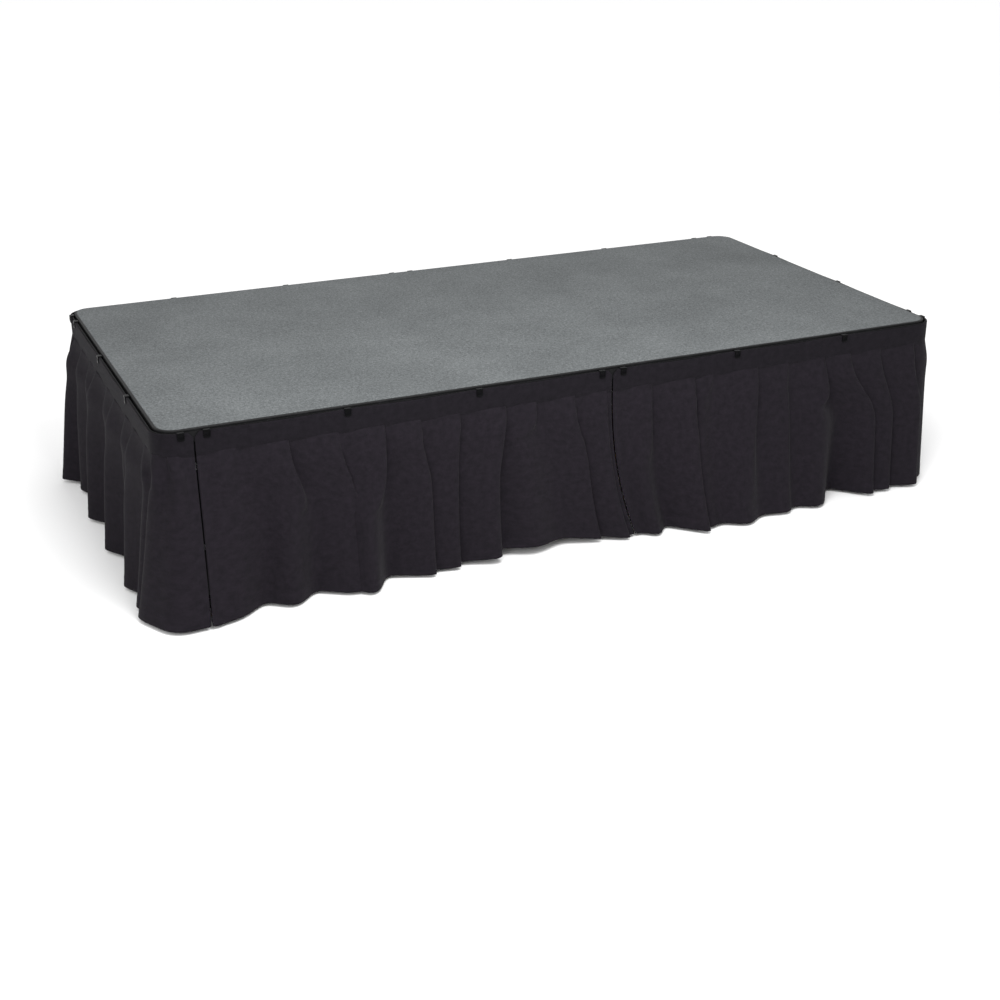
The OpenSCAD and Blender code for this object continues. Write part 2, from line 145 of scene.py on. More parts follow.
def set_surface(
    tree: bpy.types.NodeTree,
    surface: bpy.types.Node,
    links: dict[str, bpy.types.NodeSocket],
    values: dict[str, float],
) -> None:
    """Feeds a surface shader its patterns, and sets what is the same all over.

    Args:
        tree: the material's node tree.
        surface: the Principled shader node.
        links: the output sockets that feed it, by the name of its input.
        values: its constant inputs, by name.
    """
    for name, socket in links.items():
        tree.links.new(socket, surface.inputs[name])
    for name, value in values.items():
        surface.inputs[name].default_value = value


# ---------- finishes ----------


@dataclass(frozen=True)
class NeedleFelt:
    """Needle-punched polypropylene carpet, made of black, grey and light fibres pressed flat.

    To the eye it is a dull heathered grey with no shine: fine speckle, faint clouds where the fibre
    blend is uneven, and a rough nap that only shows in low light.
    """

    name: str = "needle_felt_carpet"
    dark: str = "#38393a"
    middle: str = "#575a5b"
    light: str = "#777a7b"
    # Single fibres are 0.05 mm and too fine to show, so a tuft of them is drawn instead
    tuft_mm: float = 2.4
    speck_mm: float = 5.0
    cloud_mm: float = 170.0
    cloud_weight: float = 0.22
    # Taken off the blend of tufts, specks and clouds, which brings its mean back to 0.5
    blend_offset: float = 0.36

    def material(self) -> bpy.types.Material:
        """Builds the carpet's material.

        Returns:
            The material.
        """
        material, tree, surface = new_material(self.name)
        place = add_node(tree, "ShaderNodeTexCoord").outputs["Object"]
        tufts = add_node(
            tree,
            "ShaderNodeTexNoise",
            {"Scale": 1 / (self.tuft_mm * MM), "Detail": 3.0, "Roughness": 0.7},
            {"Vector": place},
        )
        specks = add_node(
            tree,
            "ShaderNodeTexNoise",
            {"Scale": 1 / (self.speck_mm * MM), "Detail": 4.0, "Roughness": 0.75, "Distortion": 0.6},
            {"Vector": place},
        )
        clouds = add_node(
            tree, "ShaderNodeTexNoise", {"Scale": 1 / (self.cloud_mm * MM), "Detail": 3.0}, {"Vector": place}
        )
        mixed = add_node(
            tree,
            "ShaderNodeMath",
            {1: 0.5},
            {0: tufts.outputs["Fac"], 2: specks.outputs["Fac"]},
            operation="MULTIPLY_ADD",
        )
        clouded = add_node(
            tree,
            "ShaderNodeMath",
            {1: self.cloud_weight},
            {0: clouds.outputs["Fac"], 2: mixed.outputs[0]},
            operation="MULTIPLY_ADD",
        )
        centred = add_node(
            tree, "ShaderNodeMath", {1: self.blend_offset}, {0: clouded.outputs[0]}, operation="SUBTRACT"
        )
        heather = add_node(tree, "ShaderNodeValToRGB", links={"Fac": centred.outputs[0]})
        set_ramp(heather, [(0.18, self.dark), (0.48, self.middle), (0.80, self.light)])
        nap = add_node(
            tree, "ShaderNodeBump", {"Strength": 0.55, "Distance": 0.0008}, {"Height": mixed.outputs[0]}
        )
        set_surface(
            tree,
            surface,
            {"Base Color": heather.outputs["Color"], "Normal": nap.outputs["Normal"]},
            {"Roughness": 0.96, "Specular IOR Level": 0.06, "Sheen Weight": 0.02, "Sheen Roughness": 0.6},
        )
        return material


@dataclass(frozen=True)
class WovenPolyester:
    """Flame-retardant woven polyester, dyed charcoal, with lockstitched seams in matching thread.

    To the eye it is a flat, slightly purple black that hardly shines, a little paler where the light
    grazes it, with a fine plain weave and shallow puckers beside each stitch line. The weave follows
    the cloth: U is the distance along the flat cloth and V the distance up from its lower edge.
    """

    name: str = "woven_polyester"
    dark: str = "#110f13"
    light: str = "#1e1a20"
    # The yarns are 0.35 mm apart and too fine to show, so every third one is drawn
    yarn_mm: float = 1.05
    stitch_mm: float = 3.2
    stitch_rows_mm: tuple[float, ...] = (25.0,)
    slub_mm: float = 14.0

    def material(self) -> bpy.types.Material:
        """Builds the cloth's material.

        Returns:
            The material.
        """
        material, tree, surface = new_material(self.name)
        cloth = add_node(tree, "ShaderNodeUVMap", uv_map=CLOTH_UV).outputs["UV"]
        apart = add_node(tree, "ShaderNodeSeparateXYZ", links={"Vector": cloth})
        turn = math.tau / (self.yarn_mm * MM)
        weave = None
        for axis in ("X", "Y"):
            phase = add_node(
                tree, "ShaderNodeMath", {1: turn}, {0: apart.outputs[axis]}, operation="MULTIPLY"
            )
            yarn = add_node(tree, "ShaderNodeMath", links={0: phase.outputs[0]}, operation="SINE")
            if weave is None:
                weave = yarn
            else:
                weave = add_node(
                    tree,
                    "ShaderNodeMath",
                    links={0: weave.outputs[0], 1: yarn.outputs[0]},
                    operation="MULTIPLY",
                )
        slubs = add_node(
            tree,
            "ShaderNodeTexNoise",
            {"Scale": 1 / (self.slub_mm * MM), "Detail": 6.0, "Roughness": 0.7},
            {"Vector": cloth},
        )
        tone = add_node(
            tree,
            "ShaderNodeMath",
            {1: 0.10},
            {0: weave.outputs[0], 2: slubs.outputs["Fac"]},
            operation="MULTIPLY_ADD",
        )
        dye = add_node(tree, "ShaderNodeValToRGB", links={"Fac": tone.outputs[0]})
        set_ramp(dye, [(0.25, self.dark), (0.75, self.light)])
        thread = self._stitching(tree, apart)
        height = add_node(
            tree,
            "ShaderNodeMath",
            {1: 0.22},
            {0: weave.outputs[0], 2: thread},
            operation="MULTIPLY_ADD",
        )
        bump = add_node(
            tree, "ShaderNodeBump", {"Strength": 0.5, "Distance": 0.0005}, {"Height": height.outputs[0]}
        )
        set_surface(
            tree,
            surface,
            {"Base Color": dye.outputs["Color"], "Normal": bump.outputs["Normal"]},
            {"Roughness": 0.86, "Specular IOR Level": 0.08, "Sheen Weight": 0.02, "Sheen Roughness": 0.45},
        )
        return material

    def _stitching(self, tree: bpy.types.NodeTree, apart: bpy.types.Node) -> bpy.types.NodeSocket:
        """Draws the stitch lines as a height: raised threads in a shallow pulled-in groove.

        Args:
            tree: the material's node tree.
            apart: the node that splits the cloth's U and V.

        Returns:
            The socket that gives the height.
        """
        along = add_node(
            tree,
            "ShaderNodeMath",
            {1: math.tau / (self.stitch_mm * MM)},
            {0: apart.outputs["X"]},
            operation="MULTIPLY",
        )
        wave = add_node(tree, "ShaderNodeMath", links={0: along.outputs[0]}, operation="SINE")
        total = None
        for row_mm in self.stitch_rows_mm:
            off = add_node(
                tree, "ShaderNodeMath", {1: row_mm * MM}, {0: apart.outputs["Y"]}, operation="SUBTRACT"
            )
            away = add_node(tree, "ShaderNodeMath", links={0: off.outputs[0]}, operation="ABSOLUTE")
            near = add_node(
                tree,
                "ShaderNodeMapRange",
                {"From Min": 0.0, "From Max": 0.0025, "To Min": 1.0, "To Max": 0.0},
                {"Value": away.outputs[0]},
                interpolation_type="SMOOTHSTEP",
            )
            raised = add_node(
                tree, "ShaderNodeMath", {1: 0.8}, {0: wave.outputs[0]}, operation="MULTIPLY"
            )
            lowered = add_node(tree, "ShaderNodeMath", {1: 1.2}, {0: raised.outputs[0]}, operation="SUBTRACT")
            row = add_node(
                tree,
                "ShaderNodeMath",
                links={0: near.outputs[0], 1: lowered.outputs[0]},
                operation="MULTIPLY",
            )
            total = (
                row
                if total is None
                else add_node(tree, "ShaderNodeMath", links={0: total.outputs[0], 1: row.outputs[0]})
            )
        return total.outputs[0]


@dataclass(frozen=True)
class MouldedPlastic:
    """Injection-moulded or extruded plastic: acetal clips, nylon plugs and soft vinyl edging.

    To the eye it is an even black with a skin whose gloss depends on the mould, a very fine texture,
    and faint paler scuffs.
    """

    name: str
    colour: str
    worn: str
    roughness: float
    ior: float = 1.46
    texture_mm: float = 1.2
    texture_strength: float = 0.12
    specular: float = 0.3
    scuff_mm: float = 22.22

    def material(self) -> bpy.types.Material:
        """Builds the plastic's material.

        Returns:
            The material.
        """
        material, tree, surface = new_material(self.name)
        place = add_node(tree, "ShaderNodeTexCoord").outputs["Object"]
        skin = add_node(
            tree,
            "ShaderNodeTexNoise",
            {"Scale": 1 / (self.texture_mm * MM), "Detail": 3.0},
            {"Vector": place},
        )
        scuffs = add_node(
            tree,
            "ShaderNodeTexNoise",
            {"Scale": 1 / (self.scuff_mm * MM), "Detail": 8.0, "Roughness": 0.75},
            {"Vector": place},
        )
        tint = add_node(tree, "ShaderNodeValToRGB", links={"Fac": scuffs.outputs["Fac"]})
        set_ramp(tint, [(0.5, self.colour), (0.72, self.worn)])
        shine = add_node(
            tree,
            "ShaderNodeMapRange",
            {"To Min": self.roughness - 0.05, "To Max": self.roughness + 0.12},
            {"Value": scuffs.outputs["Fac"]},
        )
        bump = add_node(
            tree,
            "ShaderNodeBump",
            {"Strength": self.texture_strength, "Distance": 0.0002},
            {"Height": skin.outputs["Fac"]},
        )
        links = {
            "Base Color": tint.outputs["Color"],
            "Roughness": shine.outputs["Result"],
            "Normal": bump.outputs["Normal"],
        }
        set_surface(tree, surface, links, {"IOR": self.ior, "Specular IOR Level": self.specular})
        return material


@dataclass(frozen=True)
class PowderCoat:
    """Polyester powder baked on steel.

    To the eye it is a closed satin black with a slight orange peel and dust that has settled in
    clouds, which also dulls it.
    """

    name: str
    colour: str = "#17181a"
    dusty: str = "#2a2b2d"
    roughness: float = 0.42
    peel_mm: float = 2.2
    dust_mm: float = 71.43
    ior: float = 1.5
    specular: float = 0.4

    def material(self) -> bpy.types.Material:
        """Builds the coating's material.

        Returns:
            The material.
        """
        material, tree, surface = new_material(self.name)
        place = add_node(tree, "ShaderNodeTexCoord").outputs["Object"]
        peel = add_node(
            tree, "ShaderNodeTexNoise", {"Scale": 1 / (self.peel_mm * MM), "Detail": 1.5}, {"Vector": place}
        )
        dust = add_node(
            tree,
            "ShaderNodeTexNoise",
            {"Scale": 1 / (self.dust_mm * MM), "Detail": 9.0, "Roughness": 0.7},
            {"Vector": place},
        )
        tint = add_node(tree, "ShaderNodeValToRGB", links={"Fac": dust.outputs["Fac"]})
        set_ramp(tint, [(0.42, self.colour), (0.75, self.dusty)])
        shine = add_node(
            tree,
            "ShaderNodeMapRange",
            {"To Min": self.roughness - 0.08, "To Max": self.roughness + 0.2},
            {"Value": dust.outputs["Fac"]},
        )
        bump = add_node(
            tree, "ShaderNodeBump", {"Strength": 0.25, "Distance": 0.0003}, {"Height": peel.outputs["Fac"]}
        )
        links = {
            "Base Color": tint.outputs["Color"],
            "Roughness": shine.outputs["Result"],
            "Normal": bump.outputs["Normal"],
        }
        set_surface(tree, surface, links, {"IOR": self.ior, "Specular IOR Level": self.specular})
        return material


@dataclass(frozen=True)
class ZincPlate:
    """Steel with bright zinc plating.

    To the eye it is a cool pale metal, evenly satin, with a faint crystal mottling and duller, hazy
    patches.
    """

    name: str
    bright: str = "#c9ccce"
    dull: str = "#94979a"
    roughness: float = 0.34
    mottle_mm: float = 6.0
    haze_mm: float = 16.67

    def material(self) -> bpy.types.Material:
        """Builds the plating's material.

        Returns:
            The material.
        """
        material, tree, surface = new_material(self.name)
        place = add_node(tree, "ShaderNodeTexCoord").outputs["Object"]
        crystals = add_node(
            tree, "ShaderNodeTexVoronoi", {"Scale": 1 / (self.mottle_mm * MM)}, {"Vector": place}
        )
        haze = add_node(
            tree,
            "ShaderNodeTexNoise",
            {"Scale": 1 / (self.haze_mm * MM), "Detail": 8.0, "Roughness": 0.7},
            {"Vector": place},
        )
        mottle = add_node(
            tree,
            "ShaderNodeMath",
            {1: 0.25},
            {0: crystals.outputs["Distance"], 2: haze.outputs["Fac"]},
            operation="MULTIPLY_ADD",
        )
        tint = add_node(tree, "ShaderNodeValToRGB", links={"Fac": mottle.outputs[0]})
        set_ramp(tint, [(0.4, self.bright), (0.8, self.dull)])
        shine = add_node(
            tree,
            "ShaderNodeMapRange",
            {"To Min": self.roughness - 0.08, "To Max": self.roughness + 0.22},
            {"Value": haze.outputs["Fac"]},
        )
        bump = add_node(
            tree, "ShaderNodeBump", {"Strength": 0.1, "Distance": 0.0002}, {"Height": haze.outputs["Fac"]}
        )
        links = {
            "Base Color": tint.outputs["Color"],
            "Roughness": shine.outputs["Result"],
            "Normal": bump.outputs["Normal"],
        }
        set_surface(tree, surface, links, {"Metallic": 1.0})
        return material


@dataclass(frozen=True)
class BirchPlywood:
    """Rotary-cut birch plywood, sealed with clear lacquer.

    To the eye its faces are pale honey with long soft grain along the deck, and its edges show the
    plies as light and dark lines, because every second ply turns its end grain outwards.
    """

    name: str = "sealed_birch_plywood"
    pale: str = "#c9a777"
    dark: str = "#a47d4e"
    ply_mm: float = 2.0
    grain_mm: float = 9.0

    def material(self) -> bpy.types.Material:
        """Builds the plywood's material.

        Returns:
            The material.
        """
        material, tree, surface = new_material(self.name)
        place = add_node(tree, "ShaderNodeTexCoord").outputs["Object"]
        stretched = add_node(
            tree, "ShaderNodeMapping", {"Scale": (0.06, 1.0, 0.4)}, {"Vector": place}
        )
        grain = add_node(
            tree,
            "ShaderNodeTexNoise",
            {"Scale": 1 / (self.grain_mm * MM), "Detail": 6.0, "Roughness": 0.65, "Distortion": 0.4},
            {"Vector": stretched.outputs["Vector"]},
        )
        apart = add_node(tree, "ShaderNodeSeparateXYZ", links={"Vector": place})
        phase = add_node(
            tree,
            "ShaderNodeMath",
            {1: math.tau / (2 * self.ply_mm * MM)},
            {0: apart.outputs["Z"]},
            operation="MULTIPLY",
        )
        plies = add_node(tree, "ShaderNodeMath", links={0: phase.outputs[0]}, operation="SINE")
        tone = add_node(
            tree,
            "ShaderNodeMath",
            {1: 0.12},
            {0: plies.outputs[0], 2: grain.outputs["Fac"]},
            operation="MULTIPLY_ADD",
        )
        tint = add_node(tree, "ShaderNodeValToRGB", links={"Fac": tone.outputs[0]})
        set_ramp(tint, [(0.32, self.dark), (0.66, self.pale)])
        bump = add_node(
            tree, "ShaderNodeBump", {"Strength": 0.2, "Distance": 0.0003}, {"Height": grain.outputs["Fac"]}
        )
        set_surface(
            tree,
            surface,
            {"Base Color": tint.outputs["Color"], "Normal": bump.outputs["Normal"]},
            {"Roughness": 0.5, "Coat Weight": 0.15},
        )
        return material


class Finish(Enum):
    """The finishes of the platform, each made once."""

    CARPET = NeedleFelt()
    PLYWOOD = BirchPlywood()
    SKIRT = WovenPolyester()
    # The header's colours are darker than the skirt cloth's dye: painted shade for the upright band under the
    # deck's overhanging edge
    HEADER = WovenPolyester("woven_polyester_header_painted_shade", "#0e0c10", "#19161b", stitch_rows_mm=(4.0, 44.0))
    EDGING = MouldedPlastic(
        "extruded_vinyl_edging", "#0c0c0d", "#19191b", roughness=0.55, ior=1.53, specular=0.18
    )
    CLIP = MouldedPlastic(
        "glossy_acetal_clip",
        "#030304",
        "#08080a",
        roughness=0.3,
        ior=1.48,
        texture_mm=2.0,
        texture_strength=0.05,
        specular=0.05,
    )
    NYLON = MouldedPlastic("black_moulded_nylon", "#151516", "#29292b", roughness=0.5, ior=1.53)
    RUBBER = MouldedPlastic(
        "moulded_rubber",
        "#1a1a1b",
        "#323233",
        roughness=0.72,
        ior=1.52,
        texture_mm=0.8,
        texture_strength=0.3,
    )
    # Black powder coat like the frame's, made darker than it as painted shade where the rail shows under the
    # header
    SKIRT_RAIL = PowderCoat("rail_powder_coat_painted_shade", "#0a0a0b", "#141416", 0.6, specular=0.12)
    STEEL_COAT = PowderCoat("frame_powder_coat")
    ZINC = ZincPlate("bright_zinc_plate")
    BRACE_ZINC = ZincPlate("satin_zinc_plate", "#b9bcbf", "#84878a", 0.4, 9.0)

    @property
    def material(self) -> bpy.types.Material:
        """The finish's material, built the first time it is asked for."""
        made = bpy.data.materials.get(self.value.name)
        return made or self.value.material()


# ---------- mesh helpers ----------


def deselect_all() -> None:
    """Leaves no object selected, so that an operator acts only on what comes next."""
    if bpy.context.object and bpy.context.object.mode != "OBJECT":
        bpy.ops.object.mode_set(mode="OBJECT")
    bpy.ops.object.select_all(action="DESELECT")


def make_active(obj: bpy.types.Object) -> None:
    """Selects one object alone and makes it the active one.

    Args:
        obj: the object.
    """
    deselect_all()
    obj.select_set(True)
    bpy.context.view_layer.objects.active = obj


def select_faces(obj: bpy.types.Object, test: Callable[[Vector, Vector], bool]) -> None:
    """In edit mode, selects only the faces that pass a test.

    Args:
        obj: the object being edited.
        test: says yes or no to a face's centre and normal.
    """
    mesh = bmesh.from_edit_mesh(obj.data)
    bpy.context.tool_settings.mesh_select_mode = (False, False, True)
    for face in mesh.faces:
        face.select_set(test(face.calc_center_median(), face.normal))
    mesh.select_flush_mode()
    bmesh.update_edit_mesh(obj.data)


def select_edges(obj: bpy.types.Object, test: Callable[[Vector, Vector], bool]) -> None:
    """In edit mode, selects only the edges that pass a test.

    Args:
        obj: the object being edited.
        test: says yes or no to an edge's two ends.
    """
    mesh = bmesh.from_edit_mesh(obj.data)
    bpy.context.tool_settings.mesh_select_mode = (False, True, False)
    for item in [*mesh.faces, *mesh.edges, *mesh.verts]:
        item.select = False
    for edge in mesh.edges:
        if test(edge.verts[0].co, edge.verts[1].co):
            edge.select_set(True)
    bmesh.update_edit_mesh(obj.data)


def add_block(name: str, low: Vector, high: Vector) -> bpy.types.Object:
    """Adds a cube primitive that fills a box, as the start of a piece.

    Args:
        name: the piece's name.
        low: the box's lowest corner.
        high: the box's highest corner.

    Returns:
        The new object, with its place in its mesh.
    """
    deselect_all()
    bpy.ops.mesh.primitive_cube_add(size=1.0, location=(low + high) / 2, scale=high - low)
    piece = bpy.context.object
    piece.name = piece.data.name = name
    bpy.ops.object.transform_apply(location=True, rotation=True, scale=True)
    return piece


def add_ringed_rod(name: str, rings: Sequence[tuple[float, float]], sides: int) -> bpy.types.Object:
    """Extrudes a round rod ring by ring up the Z axis.

    Args:
        name: the piece's name.
        rings: the height and the radius of each ring, from the bottom up.
        sides: how many sides the rod has.

    Returns:
        The closed rod.
    """
    deselect_all()
    height, radius = rings[0]
    bpy.ops.mesh.primitive_circle_add(
        vertices=sides, radius=radius, fill_type="NGON", location=(0, 0, height)
    )
    rod = bpy.context.object
    rod.name = rod.data.name = name
    bpy.ops.object.transform_apply(location=True, rotation=True, scale=True)
    bpy.ops.object.mode_set(mode="EDIT")
    bpy.ops.mesh.select_all(action="SELECT")
    for next_height, next_radius in rings[1:]:
        bpy.ops.mesh.extrude_region_move(
            TRANSFORM_OT_translate={"value": (0, 0, next_height - height)}
        )
        bpy.ops.transform.resize(value=(next_radius / radius, next_radius / radius, 1.0))
        height, radius = next_height, next_radius
    bpy.ops.mesh.select_all(action="SELECT")
    bpy.ops.mesh.normals_make_consistent(inside=False)
    bpy.ops.object.mode_set(mode="OBJECT")
    bpy.ops.object.shade_smooth_by_angle(angle=math.radians(50))
    return rod


def apply_modifier(obj: bpy.types.Object, kind: str, **settings: Any) -> None:
    """Adds a modifier to a piece and applies it.

    Args:
        obj: the piece.
        kind: the modifier's type.
        settings: the modifier's own settings.
    """
    make_active(obj)
    modifier = obj.modifiers.new(kind.lower(), kind)
    for name, value in settings.items():
        setattr(modifier, name, value)
    bpy.ops.object.modifier_apply(modifier=modifier.name)


def paint(obj: bpy.types.Object, finish: Finish) -> None:
    """Gives a piece one finish all over.

    Args:
        obj: the piece.
        finish: the finish.
    """
    if not obj.data.materials:
        obj.data.materials.append(finish.material)
    for slot in obj.material_slots:
        slot.material = finish.material


def paint_nodes(
    nodes: dict[str, bpy.types.Object], prefix: str, finishes: dict[Finish, tuple[str, ...]]
) -> None:
    """Gives CAD pieces their finishes.

    Args:
        nodes: the CAD nodes by name.
        prefix: what comes before each of the names below.
        finishes: how the names of the pieces begin, for each finish.
    """
    for finish, parts in finishes.items():
        starts = tuple(prefix + part for part in parts)
        for name, node in nodes.items():
            if name.startswith(starts):
                paint(node, finish)
                LOG.info("%s: %s", name, finish.name)


def join_parts(parts: Sequence[bpy.types.Object], name: str) -> bpy.types.Object:
    """Joins objects as one piece.

    Args:
        parts: the objects.
        name: the piece's name.

    Returns:
        The piece.
    """
    deselect_all()
    for part in parts:
        part.select_set(True)
    bpy.context.view_layer.objects.active = parts[0]
    if len(parts) > 1:
        bpy.ops.object.join()
    piece = bpy.context.object
    piece.name = piece.data.name = name
    return piece


def place_copies(model: bpy.types.Object, name: str, places: Sequence[Matrix]) -> bpy.types.Object:
    """Copies a modelled shape to several places and joins the copies as one piece.

    Args:
        model: the shape, modelled once at the origin.
        name: the new piece's name.
        places: where each copy goes.

    Returns:
        The joined piece, with its place in its mesh.
    """
    copies = []
    for place in places:
        copy = model.copy()
        copy.data = model.data.copy()
        copy.data.transform(place)
        bpy.context.scene.collection.objects.link(copy)
        copies.append(copy)
    return join_parts(copies, name)


# ---------- skirt ----------


@dataclass(frozen=True)
class Fold:
    """One pleat of a skirt panel, in millimetres.

    Attributes:
        width: how much of the skirt line it takes.
        depth: how far it stands out of its feet at the hem.
        foot: how far its left foot stands out of the skirt line at the hem.
        knife: how sharply it turns back at the hem, from 0, a soft wave, to 1, a knife edge.
        slant: how far its left foot wanders to the right on its way down.
    """

    width: float
    depth: float
    foot: float = 0.0
    knife: float = 0.3
    slant: float = 0.0


@dataclass(frozen=True)
class SkirtLine:
    """The line that the skirt hangs from, round the deck, in metres.

    Attributes:
        half_length: half the deck's length.
        half_width: half the deck's width.
        corner: radius of the deck's corners.
        stand_off: how far the header's middle lies out of the deck's edge.
    """

    half_length: float
    half_width: float
    corner: float = 0.040
    stand_off: float = 0.0086

    @property
    def side_x(self) -> float:
        """Length of the straight stretch along the front."""
        return 2 * (self.half_length - self.corner)

    @property
    def side_y(self) -> float:
        """Length of the straight stretch along one end."""
        return 2 * (self.half_width - self.corner)

    @property
    def arc(self) -> float:
        """Length of the line round one corner."""
        return math.pi / 2 * (self.corner + self.stand_off)

    @property
    def half_line(self) -> float:
        """Half of the way round the deck."""
        return self.side_x + self.side_y + 2 * self.arc

    def at(self, distance: float) -> tuple[Vector, float]:
        """Finds a place on the line; 0 is the front edge's left end, and it runs to the right.

        Args:
            distance: how far along the line.

        Returns:
            The point on the corner or edge that the line turns about, and the outward angle.
        """
        turns, s = divmod(distance, self.half_line)
        x, y = self.side_x / 2, self.side_y / 2
        if s < self.side_x:
            point, angle = Vector((s - x, -y)), -math.pi / 2
        elif s < self.side_x + self.arc:
            point, angle = Vector((x, -y)), math.pi / 2 * ((s - self.side_x) / self.arc - 1)
        elif s < self.side_x + self.arc + self.side_y:
            point, angle = Vector((x, s - self.side_x - self.arc - y)), 0.0
        else:
            past = s - self.side_x - self.arc - self.side_y
            point, angle = Vector((x, y)), math.pi / 2 * past / self.arc
        return (-point, angle + math.pi) if int(turns) % 2 else (point, angle)

    def place(self, distance: float, out: float, height: float) -> Vector:
        """Gives the point that far along the line, out of it, and above the floor.

        Args:
            distance: how far along the line.
            out: how far out of the line.
            height: height above the floor.

        Returns:
            The point.
        """
        point, angle = self.at(distance)
        reach = self.corner + self.stand_off + out
        return Vector((point.x + reach * math.cos(angle), point.y + reach * math.sin(angle), height))


def pleat_curve(width: float, depth: float, overlap: float, steps: int) -> np.ndarray:
    """Draws one knife pleat in plan: it comes forward to the right and turns back sharply.

    Args:
        width: how much of the line it takes.
        depth: how far its crest stands out.
        overlap: how far its crest reaches past its right foot.
        steps: how many steps from foot to foot.

    Returns:
        Points as rows of (distance along the line, distance out).
    """
    phase = np.linspace(0, math.tau, steps + 1)
    rise = (1 - np.cos(phase)) / 2
    along = width * phase / math.tau + (width / 2 + overlap) * rise
    return np.column_stack([along, depth * rise])


def curve_length(points: np.ndarray) -> float:
    """Measures a curve given as rows of points.

    Args:
        points: the curve's points.

    Returns:
        Its length.
    """
    return float(np.hypot(*np.diff(points, axis=0).T).sum())


def pleat_of_length(width: float, depth: float, length: float) -> np.ndarray:
    """Draws a pleat that takes a given length of cloth, by finding how far it has to overlap.

    Args:
        width: how much of the line it takes.
        depth: how far its crest stands out.
        length: the length of cloth in it.

    Returns:
        Points as rows of (distance along the line, distance out).
    """
    low, high = -width / 2, width
    for _ in range(18):
        middle = (low + high) / 2
        if curve_length(pleat_curve(width, depth, middle, 24)) < length:
            low = middle
        else:
            high = middle
    return pleat_curve(width, depth, (low + high) / 2, 64)


def add_cloth_grid(
    name: str, points: Sequence[Vector], uvs: Sequence[tuple[float, float]], columns: int, top_first: bool
) -> bpy.types.Object:
    """Makes a sheet from rows of points, with its flat cut as its UV map.

    Args:
        name: the sheet's name.
        points: its points, row by row, from left to right as seen from outside.
        uvs: each point's place on the flat cloth, in metres.
        columns: how many points a row has.
        top_first: whether the first row is the top one.

    Returns:
        The sheet, facing outwards.
    """
    faces = []
    for r in range(len(points) // columns - 1):
        for c in range(columns - 1):
            near, far = r * columns + c, (r + 1) * columns + c
            faces.append((near, far, far + 1, near + 1) if top_first else (near, near + 1, far + 1, far))
    mesh = bpy.data.meshes.new(name)
    mesh.from_pydata(points, [], faces)
    uv = mesh.uv_layers.new(name=CLOTH_UV)
    for loop in mesh.loops:
        uv.data[loop.index].uv = uvs[loop.vertex_index]
    mesh.polygons.foreach_set("use_smooth", [True] * len(mesh.polygons))
    sheet = bpy.data.objects.new(name, mesh)
    bpy.context.scene.collection.objects.link(sheet)
    return sheet


